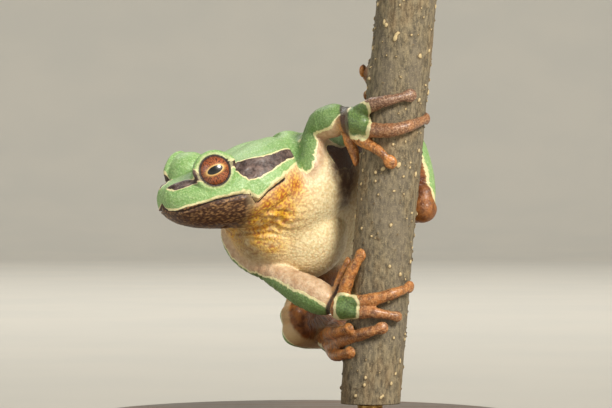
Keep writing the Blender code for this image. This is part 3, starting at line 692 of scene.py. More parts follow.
def lattice(ix, iy, iz, salt):
    """A repeatable number from 0 to 1 for each cell of a grid."""
    h = (ix.astype(np.int64) * 73856093) ^ (iy.astype(np.int64) * 19349663) ^ (iz.astype(np.int64) * 83492791)
    h = (h + salt * 2654435761) & 0xFFFFFFFF
    h = ((h ^ (h >> 15)) * 2246822519) & 0xFFFFFFFF
    h = ((h ^ (h >> 13)) * 3266489917) & 0xFFFFFFFF
    return ((h ^ (h >> 16)) & 0xFFFFFF) / float(0x1000000)


def noise(points, size, salt=0):
    """Smooth noise from -1 to 1 with features of a size in millimetres."""
    q = points / size
    cell = np.floor(q).astype(np.int64)
    f = q - cell
    f = f * f * (3.0 - 2.0 * f)
    total = 0.0
    for corner in np.ndindex(2, 2, 2):
        weight = np.prod(np.where(corner, f, 1 - f), axis=1)
        total = total + weight * lattice(*(cell + corner).T, salt)
    return total * 2.0 - 1.0


def granules(points, size, salt=0):
    """Rounded grains: 1 at a grain's middle and 0 between grains."""
    q = points / size
    cell = np.floor(q).astype(np.int64)
    nearest = np.full(len(points), 9.0)
    for shift in np.ndindex(3, 3, 3):
        x, y, z = (cell + np.array(shift) - 1).T
        gap = 0.0
        for axis, part in enumerate((x, y, z)):
            gap = gap + (q[:, axis] - part - lattice(x, y, z, salt + axis)) ** 2
        nearest = np.minimum(nearest, gap)
    return np.clip(1.0 - np.sqrt(nearest) / 0.75, 0.0, 1.0)


def edge_share(x, y, start, end):
    """For an edge in the plane: the nearest place on it from 0 to 1, and the distance to it."""
    (x0, y0), (x1, y1) = start, end
    ex, ey = x1 - x0, y1 - y0
    t = np.clip(((x - x0) * ex + (y - y0) * ey) / (ex * ex + ey * ey), 0.0, 1.0)
    return t, np.hypot(x - x0 - t * ex, y - y0 - t * ey)


def polygon_distance(x, y, corners):
    """Signed distance to a polygon, positive inside."""
    best = np.full(len(x), FAR)
    inside = np.zeros(len(x), bool)
    for start, end in zip(corners, corners[1:] + corners[:1]):
        best = np.minimum(best, edge_share(x, y, start, end)[1])
        (x0, y0), (x1, y1) = start, end
        if y0 != y1:
            inside ^= ((y0 > y) != (y1 > y)) & (x < (x1 - x0) * (y - y0) / (y1 - y0) + x0)
    return np.where(inside, best, -best)


def line_distance(x, y, points):
    """Distance to an open line of points, and how far along it from 0 to 1."""
    best = np.full(len(x), FAR)
    along = np.zeros(len(x))
    last = len(points) - 1
    for index in range(last):
        t, gap = edge_share(x, y, points[index], points[index + 1])
        along = np.where(gap < best, (index + t) / last, along)
        best = np.minimum(best, gap)
    return best, along


def path_distance(points, path, radii):
    """For a limb: distance outside its surface, share along it, and the direction away from its axis."""
    rows = np.array(smooth_rows([(*p, r) for p, r in zip(path, radii)], 4))
    best = np.full(len(points), FAR)
    share = np.zeros(len(points))
    away = np.zeros((len(points), 3))
    margin = 4.0 + rows[:, 3].max()
    low, high = rows[:, :3].min(0) - margin, rows[:, :3].max(0) + margin
    near = np.flatnonzero(np.all((points > low) & (points < high), axis=1))
    q = points[near]
    last = len(rows) - 1
    for index in range(last):
        start, end = rows[index], rows[index + 1]
        edge = end[:3] - start[:3]
        t = np.clip((q - start[:3]) @ edge / (edge @ edge), 0.0, 1.0)
        off = q - start[:3] - t[:, None] * edge
        length = np.sqrt((off ** 2).sum(1))
        gap = length - (start[3] + (end[3] - start[3]) * t)
        closer = gap < best[near]
        picked = near[closer]
        best[picked] = gap[closer]
        share[picked] = ((index + t) / last)[closer]
        away[picked] = (off / np.maximum(length, 1e-6)[:, None])[closer]
    return best, share, away


# From closed bodies to one skin

def remeshed_arrays(bm, voxel):
    """Join closed bodies in one skin and give its points, faces and edges as arrays."""
    mesh = bpy.data.meshes.new("joining")
    bm.normal_update()
    bm.to_mesh(mesh)
    bm.free()
    holder = bpy.data.objects.new("joining", mesh)
    bpy.context.scene.collection.objects.link(holder)
    modifier = holder.modifiers.new("join", "REMESH")
    modifier.mode = "VOXEL"
    modifier.voxel_size = voxel
    joined = holder.evaluated_get(bpy.context.evaluated_depsgraph_get())
    made = joined.to_mesh()
    points = np.empty(len(made.vertices) * 3)
    made.vertices.foreach_get("co", points)
    edges = np.empty(len(made.edges) * 2, np.int64)
    made.edges.foreach_get("vertices", edges)
    corners = np.empty(len(made.loops), np.int64)
    made.loops.foreach_get("vertex_index", corners)
    joined.to_mesh_clear()
    bpy.data.objects.remove(holder)
    bpy.data.meshes.remove(mesh)
    return points.reshape(-1, 3), corners.reshape(-1, 4), edges.reshape(-1, 2)


def relax(points, edges, weight, rounds):
    """Move each point towards the middle of its neighbours, by its weight, several times."""
    a, b = edges[:, 0], edges[:, 1]
    count = len(points)
    degree = np.bincount(a, minlength=count) + np.bincount(b, minlength=count)
    for _ in range(rounds):
        middle = np.empty_like(points)
        for axis in range(3):
            column = points[:, axis]
            middle[:, axis] = (np.bincount(a, column[b], count) + np.bincount(b, column[a], count)) / degree
        points += (middle - points) * weight[:, None]


def steady(points, edges, rounds):
    """Take the steps of the remesh out without shrinking thin parts."""
    pull = np.full(len(points), STEADY_PULL)
    push = np.full(len(points), STEADY_PUSH)
    for _ in range(rounds):
        relax(points, edges, pull, 1)
        relax(points, edges, push, 1)


def normals_of(points, faces):
    """Unit normals of the points of a mesh of quads."""
    flat = np.cross(points[faces[:, 2]] - points[faces[:, 0]], points[faces[:, 3]] - points[faces[:, 1]])
    normals = np.empty_like(points)
    for axis in range(3):
        column = flat[:, axis]
        normals[:, axis] = sum(np.bincount(corner, column, len(points)) for corner in faces.T)
    return normals / np.maximum(np.linalg.norm(normals, axis=1), 1e-12)[:, None]


def distance_to(points, place):
    """Distance of each point from a place."""
    return np.linalg.norm(points - np.array(place), axis=1)


def joint_weights(points):
    """How much each point is eased, most where limbs leave the body and least on the digits."""
    weight = np.zeros(len(points))
    for name, (path, radii) in LIMBS.items():
        reach, pull = JOINT_EASING[name.rsplit("_", 1)[0]]
        weight = np.maximum(weight, pull * bell(distance_to(points, path[0]), reach + radii[0]))
    neck = local(points, HEAD_ORIGIN, HEAD_AXES)
    collar = bell(neck[:, 0] - HEAD_SECTIONS[0][0], NECK_EASING)
    weight = np.maximum(weight, collar * (np.abs(neck[:, 2]) < 9))
    middle, reach = SHOULDER_HOLLOW
    return np.maximum(weight, bell(distance_to(points, middle), reach))


def sculpt_skin():
    """The whole skin: joined, eased, then worked with folds, grains, lids and wrinkles."""
    points, faces, edges = remeshed_arrays(flesh_shells(), VOXEL)
    steady(points, edges, STEADY_ROUNDS)
    easing = joint_weights(points)
    relax(points, edges, EASING_PULL * easing, EASING_ROUNDS)
    relax(points, edges, np.full(len(points), LAST_PULL), 2)
    return points, faces, work_surface(points, faces)


# The skin's own coordinates

HEAD_ROWS = np.array(smooth_rows(HEAD_SECTIONS, 6))
TRUNK_ROWS = np.array([(*row[0], *row[1:3], *row[3], *row[4]) for row in trunk_rows(3)])
TRUNK_STEPS = np.linalg.norm(np.diff(TRUNK_ROWS[:, :3], axis=0), axis=1)
TRUNK_LENGTHS = np.concatenate([[0.0], np.cumsum(TRUNK_STEPS)])


def local(points, origin, axes):
    """Points given forward, left and up of a body's own axes."""
    return (points - np.array(origin)) @ np.array(axes)


def head_section(f, u):
    """The head's half width, and its height or depth on the side of each point."""
    half, above, below = (np.interp(f, HEAD_ROWS[:, 0], HEAD_ROWS[:, column]) for column in (1, 2, 3))
    return half, np.where(u > 0, above, below)


def head_round(f, a, u):
    """Arc position round the head in millimetres: 0 at its widest line, up positive."""
    half, tall = head_section(f, u)
    high = (np.abs(u) / tall) ** (HEAD_POWER / 2)
    turn = np.arctan2(high, (np.abs(a) / half) ** (HEAD_POWER / 2))
    return np.where(u > 0, turn, -turn) * HEAD_GIRTH


def head_marks(marks):
    """Marks on the head given forward, out and up, as points along and round the head."""
    f, a, u = np.array(marks, float).T
    return list(zip(f.tolist(), head_round(f, a, u).tolist()))


def trunk_round(points):
    """Millimetres along the trunk from the neck, shares across and up its section, and the arc round it."""
    nearest = np.full(len(points), FAR ** 2)
    picked = np.zeros((len(points), 3))
    for before, start, end in zip(TRUNK_LENGTHS, TRUNK_ROWS, TRUNK_ROWS[1:]):
        edge = end[:3] - start[:3]
        length = float(np.sqrt(edge @ edge))
        share = np.clip((points - start[:3]) @ edge / length ** 2, 0.0, 1.0)
        row = start + share[:, None] * (end - start)
        offset = points - row[:, :3]
        gap = (offset ** 2).sum(1)
        across = (offset * row[:, 5:8]).sum(1) / row[:, 3]
        high = (offset * row[:, 8:11]).sum(1) / row[:, 4]
        closer = gap < nearest
        picked[closer] = np.stack([before + share * length, across, high], 1)[closer]
        nearest[closer] = gap[closer]
    along, across, high = picked.T
    return along, across, high, np.arctan2(high, np.abs(across)) * TRUNK_GIRTH


def head_distance(points):
    """Rough distance outside the head."""
    f, a, u = local(points, HEAD_ORIGIN, HEAD_AXES).T
    held = np.clip(f, HEAD_ROWS[0, 0], HEAD_ROWS[-1, 0])
    half, tall = head_section(held, u)
    reach = (np.abs(a / half) ** HEAD_POWER + np.abs(u / tall) ** HEAD_POWER) ** (1 / HEAD_POWER)
    return (reach - 1.0) * np.minimum(half, tall) + np.abs(f - held)


def trunk_distance(points, across, high):
    """Rough distance outside the trunk and its full forms."""
    reach = (np.abs(across) ** TRUNK_POWER + np.abs(high) ** TRUNK_POWER) ** (1 / TRUNK_POWER)
    gap = (reach - 1.0) * TRUNK_DEPTH
    for end, inner, dome in ((0, 1, 0.8), (-1, -2, 1.2)):
        out = TRUNK_ROWS[end, :3] - TRUNK_ROWS[inner, :3]
        overshoot = (points - TRUNK_ROWS[end, :3]) @ (out / np.linalg.norm(out))
        gap = gap + np.maximum(overshoot - dome, 0.0)
    return np.minimum.reduce([gap] + [distance_to(points, middle) - radius for middle, radius in BODY_BALLS])


def limb_fields(points):
    """For every limb and digit: distance outside it, share along it and direction from its axis."""
    fields = {name: path_distance(points, *entry) for name, entry in LIMBS.items()}
    for name, paths in DIGITS.items():
        for index, entry in enumerate(paths):
            fields[f"{name}_{index}"] = path_distance(points, *entry[:2])
    return fields


def flank_marks(along, across, arc):
    """Signed distances to the flank's dark stripe and to the green above it, inside positive."""
    dark = np.zeros(len(along))
    green = np.zeros(len(along))
    for line, chosen in ((FLANK_LEFT, across >= 0.0), (FLANK_RIGHT, across < 0.0)):
        gap, share = line_distance(along, arc, line)
        level = np.interp(along, *zip(*line))
        width = np.interp(share, np.linspace(0.0, 1.0, len(FLANK_WIDTHS)), FLANK_WIDTHS)
        dark = np.where(chosen, width - gap, dark)
        green = np.where(chosen, np.where(arc > level, gap, -gap) - width - FLANK_CREAM, green)
    return dark, green


class SkinPlaces:
    """Where each point of the smooth skin lies on the head, the trunk, the limbs and the digits."""

    def __init__(self, points):
        self.f, left, self.u = local(points, HEAD_ORIGIN, HEAD_AXES).T
        self.a = np.abs(left)
        self.s = head_round(self.f, self.a, self.u)
        self.along, self.across, self.high, self.arc = trunk_round(points)
        self.limbs = limb_fields(points)
        head_gap = head_distance(points)
        trunk_gap = trunk_distance(points, self.across, self.high)
        self.core = np.maximum(np.minimum(head_gap, trunk_gap), 0.0)
        nearer = ramp(trunk_gap - head_gap, -0.5, 0.9)
        self.headness = np.maximum(nearer, ramp(self.f, -3.0, -0.5) * ramp(self.s, -3.0, -1.0))
        self.limb_gap = np.minimum.reduce([field[0] for field in self.limbs.values()])
        self.on_core = ramp(self.limb_gap - self.core, -0.2, 0.9)
        self.on_head = ramp(self.f, -5.5, -3.5) * self.on_core
        self.on_jaw_edge = ramp(self.f, 2.6, 3.4) * self.on_head
        self.flank_dark, self.flank_green = flank_marks(self.along, self.across, self.arc)
        self.flank_green += 0.3 * noise(points, 3.0, 43)
        belly = ramp(-self.flank_green, 0.6, 2.4) * (1.0 - self.headness) * self.on_core
        self.throat = ramp(-self.s, 2.4, 3.8) * self.headness * self.on_core
        self.under = np.maximum(belly, self.throat)
        self.grain = granules(points, BELLY_GRAIN[0], 3)
        streaky = np.stack([self.f, self.a, self.u], 1) * JAW_STREAK
        self.fine = granules(streaky, JAW_GRAIN[0], 9)

    def from_line(self, marks):
        """Distance over the head's surface from a line of marks."""
        return line_distance(self.f, self.s, head_marks(marks))[0]

    def from_mark(self, mark, slant=1.0):
        """Distance over the head's surface from one mark."""
        f, s = head_marks((mark,))[0]
        return np.hypot((self.f - f) * slant, self.s - s)


# Relief of the skin

def face_relief(skin):
    """Lips, mouth line, folds, tympanum and nostrils."""
    side = skin.s - np.interp(skin.f, *zip(*sorted(head_marks(MOUTH))))
    gap = skin.from_line(MOUTH)
    lift = np.zeros(len(side))
    for place, height, width in MOUTH_RELIEF:
        lift += height * bell(side - place if place else gap, width) * skin.on_jaw_edge
    form = sum(height * bell(skin.from_line(line), width) for line, height, width in HEAD_RELIEF)
    ring = skin.from_mark(DRUM)
    form += DRUM_RISE * bell(ring - DRUM_RING, 0.2) - DRUM_SINK * bell(ring, DRUM_RING * 0.8)
    pit = skin.from_mark(NOSTRIL, NOSTRIL_SLANT)
    form += NOSTRIL_RISE * bell(pit - NOSTRIL_RIM, 0.2) - NOSTRIL_DEPTH * bell(pit, 0.22)
    return lift + form * skin.on_head


def back_relief(skin):
    """Sacral hump, hip ridges, shoulder blades and the groove and ridge of the spine."""
    out = np.abs(skin.across) * np.interp(skin.along, TRUNK_LENGTHS, TRUNK_ROWS[:, 3])
    lift = HUMP_HEIGHT * bell(skin.along - HUMP_PLACE, 2.8) * bell(out, 4.2)
    for line, height, width in BACK_LINES:
        gap, share = line_distance(skin.along, out, line)
        lift += height * bell(gap, width) * np.sin(math.pi * np.clip(share, 0.06, 0.94))
    lift -= SPINE_GROOVE * bell(out, 1.0) * (1.0 - ramp(skin.along, 9.0, 12.5))
    lift += SPINE_RIDGE * bell(out, 0.9) * ramp(skin.along, 17.0, 20.0)
    return lift * ramp(skin.high, 0.2, 0.8) * skin.on_core


def grain_relief(skin, points):
    """Granular belly and throat, and the fine grain of the back and limbs."""
    jaw = skin.throat * ramp(skin.f, 2.0, 4.5)
    lift = (BELLY_GRAIN[1] * skin.grain * (1.0 - jaw) + JAW_GRAIN[1] * skin.fine * jaw) * skin.under
    return lift + 0.012 * noise(points, 0.4, 11) + 0.03 * noise(points, 1.7, 12)


def throat_relief(skin, points):
    """Folds of loose skin between jaw and chest, running along the jaw's lower edge."""
    warp = 0.5 * noise(points, 2.2, 21) + 0.2 * noise(points, 0.9, 22)
    rows = np.sin((skin.u * 0.9 - skin.f * 0.25 + warp) * 2 * math.pi / FOLD_SPACING)
    neck = bell(skin.f - 0.3, 3.4) * ramp(-skin.u, 3.0, 4.2) * (1 - ramp(-skin.u, 6.0, 8.0))
    collar, _ = line_distance(skin.f, skin.u, COLLAR)
    furrow = COLLAR_DEPTH * bell(collar, COLLAR_WIDTH) * (skin.a > 1.0)
    return (FOLD_HEIGHT * rows * neck - furrow) * skin.on_core


def joint_relief(skin, points):
    """Creases at the elbows, knees and finger joints, and slight wrinkles along each part."""
    lift = np.zeros(len(points))
    ragged = noise(points, 1.2, 31) * 2.0
    for name, (gap, share, _) in skin.limbs.items():
        near = bell(np.maximum(gap, 0.0), 0.5)
        limb = name in LIMBS
        places, height, width = LIMB_CREASES if limb else KNUCKLES
        for place in places:
            lift += height * bell(share - place, width) * near
        depth, turns = LIMB_WRINKLES if limb else DIGIT_WRINKLES
        if limb:
            lift += depth * np.sin(share * turns + ragged) * near * bell(gap, 0.4)
        else:
            lift += depth * np.sin(share * turns) * near
    return lift


def wrist_bands(points):
    """How far each point is in the dark crease across a wrist."""
    wrist = np.zeros(len(points))
    for middle, direction, width in WRISTS:
        along = (points - np.array(middle)) @ np.array(direction) / np.linalg.norm(direction)
        wrist = np.maximum(wrist, bell(along, width) * (1.0 - ramp(distance_to(points, middle), 2.4, 3.2)))
    return wrist


def from_eye(points, side):
    """The eyeball's centre, and each point's offset, distance and angle from the look direction."""
    centre, look = (np.array(part) for part in lid_places(side))
    offset = points - centre
    length = np.maximum(np.linalg.norm(offset, axis=1), 1e-6)
    return centre, offset, length, np.arccos(np.clip(offset @ look / length, -1, 1))


def fit_lids(points):
    """Draw the skin in behind the eyeball inside the lids' edge, and round the edge itself."""
    for side in (1, -1):
        centre, offset, length, angle = from_eye(points, side)
        over = (angle - LID_EDGE) / LID_SLOPE
        # Inside the lids, on their edge, up the lids' slope, and the skin beyond
        sunk = np.full(len(points), EYE_RADIUS - LID_SUNK)
        edge = EYE_RADIUS + LID_SKIN * np.clip(over, -1.6, 1.0)
        held = EYE_RADIUS + LID_SKIN + 0.02
        slope = np.maximum(length + np.maximum(held - length, 0.0) * (1.0 - ramp(over, 1.0, 6.0)), held)
        beyond = np.maximum(length, np.where(angle < LID_SIDE, EYE_RADIUS + LID_SKIN, 0.0))
        target = np.select([over < -1.6, over < 1.0, over < 6.0], [sunk, edge, slope], beyond)
        near = length < LID_REACH
        points[near] = centre + offset[near] * (target[near] / length[near])[:, None]


def keep_clear_of_stem(points):
    """Hold the skin just off the stem's surface."""
    axis_x = stem_centres(points[:, 2])
    gap = np.stack([points[:, 0] - axis_x, points[:, 1] - STEM_Y], 1)
    reach = np.linalg.norm(gap, axis=1)
    close = reach < STEM_RADIUS + SKIN_GAP
    grown = (STEM_RADIUS + SKIN_GAP) / np.maximum(reach, 1e-6)
    points[close, 0] = axis_x[close] + gap[close, 0] * grown[close]
    points[close, 1] = STEM_Y + gap[close, 1] * grown[close]


# Markings of the skin

def core_marks(skin):
    """Signed distances to the green and to the dark stripe of head and trunk, inside positive."""
    green = polygon_distance(skin.f, skin.s, head_marks(GREEN_LOW) + GREEN_TOP)
    green -= 0.5 * bell(skin.from_mark(FLAP_TIP), 0.6)
    dark = polygon_distance(skin.f, skin.s, head_marks(STRIPE_TOP) + head_marks(STRIPE_LOW))
    loop, _ = line_distance(skin.along, skin.arc, GROIN_LOOP)
    flank = np.maximum(skin.flank_dark, np.where(skin.across > 0.0, GROIN_WIDTH - loop, -FAR_MARK))
    head, trunk = skin.headness, 1 - skin.headness
    green = green * head + skin.flank_green * trunk
    green = np.minimum(green, np.where(flank > -0.5, -flank - 0.2, FAR_MARK) * trunk + FAR_MARK * head)
    dark = dark * head + np.minimum(flank, FAR_MARK) * trunk
    return {"green": np.clip(green, -FAR_MARK, FAR_MARK), "dark": np.clip(dark, -FAR_MARK, FAR_MARK)}


def limb_marks(name, skin):
    """The green strip down a limb's outer side, with the tone of its inner side."""
    _, share, away = skin.limbs[name]
    outer, first, last = OUTER_SIDES[name]
    turn = np.arccos(np.clip(away @ (np.array(outer) / np.linalg.norm(outer)), -1, 1))
    strip = (np.radians(first + (last - first) * share) - turn) * float(np.mean(LIMBS[name][1]))
    kind, side = name.rsplit("_", 1)
    arm = kind in ("upper_arm", "forearm")
    pale = PALE_BANDS[side] * (1.0 - 0.65 * (share if kind == "shank" else 1.0 - share))
    return {
        "green": strip, "dark": NO_DARK, "flesh": float(arm), "leg": float(not arm), "pale": pale,
        "digit": ramp(share, 0.8, 1.0) * (0.5 if arm else 0.3),
    }


def digit_marks(name, points):
    """The green patch on the back of a hand or foot, and the digit's own tone."""
    middle, reach = HAND_PATCHES[name.rsplit("_", 1)[0]]
    inside = (np.abs((points - np.array(middle)) / np.array(reach)) ** 3.0).sum(1) ** (1 / 3.0)
    tone = DIGIT_TONES.get(name, DIGIT_TONE)
    return {"green": (1.0 - inside) * min(reach), "dark": NO_DARK, "digit": 1.0, "tone": tone, "pale": 0.5}


def blended_marks(skin, points):
    """The markings of the core, limbs and digits, run into one another by nearness."""
    gaps = {"core": skin.core}
    gaps.update({name: np.maximum(field[0], -0.2) for name, field in skin.limbs.items()})
    gaps["upper_arm_left"] += 0.4 * (1.0 - ramp(skin.limbs["upper_arm_left"][1], 0.1, 0.35))
    least = np.minimum.reduce(list(gaps.values()))
    total = 0.0
    marks = {key: np.zeros(len(points)) for key in ("green", "dark", "digit", "flesh", "leg", "tone", "pale")}
    for name, gap in gaps.items():
        weight = np.exp(-(gap - least) / MARK_BLEND)
        total = total + weight
        if name == "core":
            found = core_marks(skin)
        else:
            found = limb_marks(name, skin) if name in LIMBS else digit_marks(name, points)
        for key, value in found.items():
            marks[key] += weight * value
    marks = {key: value / total for key, value in marks.items()}
    wander = 0.16 * noise(points, 0.9, 41) + 0.07 * noise(points, 0.35, 42)
    marks["green"] += wander
    marks["dark"] += wander * 0.8
    return marks


def throat_patches(skin, points):
    """Rust, yellow and brown on the throat and chest, with painted shade beside the left arm laid into the
    brown.
    """
    patches = {}
    for key, spots in THROAT_SPOTS.items():
        patch = np.zeros(len(points))
        for (f, a, u), reach in spots:
            gap = np.sqrt((skin.f - f) ** 2 + (skin.a - a) ** 2 + (skin.u - u) ** 2)
            patch = np.maximum(patch, bell(gap, reach))
        patches[key] = patch * (1 - ramp(skin.core, 1.2, 2.5))
    # Painted shade on the chest beside the left arm, carried in the brown value
    middle, reach = ARMPIT_PAINTED_SHADE
    shade = bell(distance_to(points, middle), reach)
    patches["brown"] = np.maximum(patches["brown"], shade * skin.on_core)
    return patches


def armpit_skin_and_shade(skin, points):
    """The dark skin and painted shade in the hollow behind the left arm."""
    depth = np.maximum.reduce([reach - distance_to(points, middle) for middle, reach in ARMPIT_SPOTS])
    hollow = ramp(depth + 0.5 * noise(points, 1.1, 45), -1.3, 1.1)
    return hollow * ramp(1.4 - skin.core, 0.0, 1.0) * (skin.limb_gap > 0.4)


def lid_lines(points):
    """Distance over the eye from the lids' edge."""
    lids = np.full(len(points), FAR_MARK)
    for side in (1, -1):
        _, _, length, angle = from_eye(points, side)
        lids = np.minimum(lids, np.where(length < 3.4, np.abs(angle - LID_EDGE) * EYE_RADIUS, FAR_MARK))
    return lids


def work_surface(points, faces):
    """Raise and sink the features of the skin and return its markings."""
    normals = normals_of(points, faces)
    skin = SkinPlaces(points)
    wrist = wrist_bands(points)
    lift = face_relief(skin) + back_relief(skin) + grain_relief(skin, points) + throat_relief(skin, points)
    lift += joint_relief(skin, points) - WRIST_DEPTH * wrist
    points += normals * lift[:, None]
    fit_lids(points)
    keep_clear_of_stem(points)
    off_head = (1 - skin.on_head) * 2.0
    mouth = skin.from_line(MOUTH) + (1 - skin.on_jaw_edge) * 2.0
    corner = np.minimum(skin.from_line(CORNER) + 0.04, skin.from_line(CREASE))
    return {
        **blended_marks(skin, points),
        **throat_patches(skin, points),
        "wrist": wrist,
        "grain": skin.grain,
        "fine": skin.fine,
        "jaw": ramp(skin.f, 0.5, 3.5) * skin.on_core * ramp(-skin.s, -0.6, 0.4),
        "mouth": np.minimum(mouth, corner) + off_head,
        "nostril": skin.from_mark(NOSTRIL, NOSTRIL_SLANT) + off_head,
        "hollow": armpit_skin_and_shade(skin, points),
        "lid": lid_lines(points),
    }


# Meshes from arrays

def mesh_piece(name, points, faces, values, paint):
    """A finished smooth mesh object, with its named values on the points."""
    mesh = bpy.data.meshes.new(name)
    mesh.vertices.add(len(points))
    mesh.vertices.foreach_set("co", (points * MM).astype(np.float32).ravel())
    mesh.loops.add(faces.size)
    mesh.loops.foreach_set("vertex_index", faces.astype(np.int32).ravel())
    mesh.polygons.add(len(faces))
    mesh.polygons.foreach_set("loop_start", np.arange(0, faces.size, faces.shape[1], dtype=np.int32))
    mesh.update(calc_edges=True)
    mesh.validate()
    mesh.polygons.foreach_set("use_smooth", np.ones(len(mesh.polygons), bool))
    for key, value in values.items():
        layer = mesh.attributes.new(key, "FLOAT", "POINT")
        layer.data.foreach_set("value", value.astype(np.float32))
    mesh.materials.append(paint)
    piece = bpy.data.objects.new(name, mesh)
    bpy.context.scene.collection.objects.link(piece)
    return piece


def full_turn(count):
    """Angles evenly round a circle."""
    return np.linspace(0, 2 * math.pi, count, endpoint=False)


def ring_faces(rows, columns, first=0):
    """Quads between rings of points, numbered ring by ring from a first point."""
    grid = first + np.arange(rows * columns).reshape(rows, columns)
    ahead = np.roll(grid, -1, 1)
    return np.stack([grid[:-1].ravel(), ahead[:-1].ravel(), ahead[1:].ravel(), grid[1:].ravel()], 1)


def closed_faces(rows, columns):
    """Triangles of a body of rings with a point before the first ring and one after the last."""
    quads = ring_faces(rows, columns, 1)
    column = np.arange(columns)
    after = np.roll(column, -1)
    last = rows * columns + 1
    low = np.stack([column * 0, 1 + after, 1 + column], 1)
    high = np.stack([column * 0 + last, last - columns + column, last - columns + after], 1)
    return np.concatenate([quads[:, (0, 1, 2)], quads[:, (0, 2, 3)], low, high])


def eye_piece(name, side, paint):
    """An eyeball with a slight corneal bulge; values give the place on its face."""
    centre, look = (np.array(part) for part in lid_places(side))
    above = np.array(HEAD_AXES.col[2])
    above = above - look * (above @ look)
    above /= np.linalg.norm(above)
    axes = np.stack([np.cross(above, look), above, look])
    down = math.pi * np.arange(1, EYE_ROWS) / EYE_ROWS
    turn, angle = (part.ravel() for part in np.meshgrid(full_turn(EYE_COLUMNS), down))
    rings = np.stack([np.sin(angle) * np.cos(turn), np.sin(angle) * np.sin(turn), np.cos(angle)], 1)
    grid = np.concatenate([[(0, 0, 1.0)], rings, [(0, 0, -1.0)]])
    bulge = 1.0 + EYE_BULGE * bell(np.hypot(grid[:, 0], grid[:, 1]), 0.75) * (grid[:, 2] > 0)
    radius = EYE_RADIUS - EYE_SLACK
    points = centre + grid @ axes * (radius * bulge)[:, None]
    values = {"eye_x": grid[:, 0] * radius, "eye_y": grid[:, 1] * radius}
    return mesh_piece(name, points, closed_faces(EYE_ROWS - 1, EYE_COLUMNS)[:, ::-1], values, paint)


def lathe(name, profile, middle, paint, sides=200, steps=5):
    """A turned body: its profile of radius and height swept round a middle."""
    rows = np.array(smooth_rows(profile, steps))
    rows[:, 0] = np.clip(rows[:, 0], 0.0, None)
    keep = rows[1:-1]
    keep = keep[keep[:, 0] > 0.02]
    turn = full_turn(sides)
    points = [np.array([(*middle, rows[0, 1])])]
    for radius, level in keep:
        across, back = middle[0] + radius * np.cos(turn), middle[1] + radius * np.sin(turn)
        points.append(np.stack([across, back, np.full(sides, level)], 1))
    points.append(np.array([(*middle, rows[-1, 1])]))
    return mesh_piece(name, np.concatenate(points), closed_faces(len(keep), sides), {}, paint)


def turned_from(angle, start):
    """Each angle less a start, from minus to plus half a turn."""
    return (angle - start + math.pi) % (2 * math.pi) - math.pi


def bark_warts(flat, angle, height):
    """Corky warts scattered over the bark: 0 between them and up to about 1 on the largest."""
    index = np.arange(WART_COUNT)
    chance = [lattice(index, index * 0, index * 0, salt) for salt in (61, 62, 63, 64)]
    shares = (index + chance[1]) / WART_COUNT
    levels = STEM_LOW + WART_MARGIN + (STEM_HIGH - STEM_LOW - 2 * WART_MARGIN) * shares
    sizes = WART_SMALLEST + WART_SPREAD * chance[2] ** 4
    wart = np.zeros(len(angle))
    for start, level, size, tall in zip(2 * math.pi * chance[0], levels, sizes, 0.7 + 0.8 * chance[3]):
        near = np.abs(height - level) < WART_REACH
        across = turned_from(angle[near], start) * BARK_ROUND / size
        ragged = 1.0 + 0.3 * noise(flat[near], 0.28, 65)
        gap = np.hypot(across, (height[near] - level) / (size * tall)) * ragged
        dome = np.clip(1.0 - (gap / 1.25) ** 2, 0.0, 1.0) ** 0.7
        wart[near] = np.maximum(wart[near], dome * (0.55 + 0.45 * size / 0.36))
    return wart


def sawn_end(rim, level, way, first, base):
    """A sawn end of the stem inside its rim of points, slightly dished and scored."""
    middle = np.array((float(stem_centres(level)), STEM_Y, level))
    score = 0.0075 * np.sin(rim[:, 0] * 9.0)
    points, faces = [], []
    for step in range(1, CUT_STEPS + 1):
        ring = middle + (rim - middle) * (1.0 - step / (CUT_STEPS + 0.3))
        ring[:, 2] += way * (0.02 * noise(ring, 0.3, 71) + score - 0.05)
        fresh = base + np.arange(len(rim)) + (step - 1) * len(rim)
        quad = np.stack([first, np.roll(first, -1), np.roll(fresh, -1), fresh], 1)
        points.append(ring)
        faces.append(quad[:, ::way])
        first = fresh
    return points, faces


def bark_arrays():
    """The cut stem: ridged bark with raised pale warts, a bud scar, and sawn ends with rings."""
    rows = int((STEM_HIGH - STEM_LOW) / BARK_STEP)
    angle, height = np.meshgrid(full_turn(BARK_COLUMNS), np.linspace(STEM_LOW, STEM_HIGH, rows + 1))
    angle, height = angle.ravel(), height.ravel()
    flat = np.stack([np.cos(angle) * BARK_ROUND, np.sin(angle) * BARK_ROUND, height], 1)
    relief = sum(rise * noise(flat * (1, 1, long), size, salt) for long, size, rise, salt in BARK_RIDGES)
    wart = bark_warts(flat, angle, height)
    across = turned_from(angle, BUD_PLACE[0]) * BARK_ROUND / BUD_SIZE[0]
    bud = bell(np.hypot(across, (height - BUD_PLACE[1]) / BUD_SIZE[1]), 1.0)
    radius = BARK_RADIUS + relief + WART_LIFT * wart + BUD_LIFT * bud
    across, back = stem_centres(height) + radius * np.cos(angle), STEM_Y + radius * np.sin(angle)
    points = np.stack([across, back, height], 1)
    rims = np.arange(len(points)).reshape(rows + 1, BARK_COLUMNS)[[0, -1]]
    sides = [([points], [ring_faces(rows + 1, BARK_COLUMNS)])]
    for first, level, way in zip(rims, (STEM_LOW, STEM_HIGH), (-1, 1)):
        base = sum(len(part) for made, _ in sides for part in made)
        sides.append(sawn_end(points[first], level, way, first, base))
    everything = np.concatenate([part for made, _ in sides for part in made])
    faces = np.concatenate([part for _, made in sides for part in made])
    everything[:, 2] = np.clip(everything[:, 2], STEM_LOW, STEM_HIGH)
    ends = np.zeros(len(everything) - len(points))
    values = {"wart": np.concatenate([wart, ends]), "bud": np.concatenate([bud, ends])}
    values["cut"] = np.concatenate([wart * 0, ends + 1])
    return everything, faces, values


# Materials

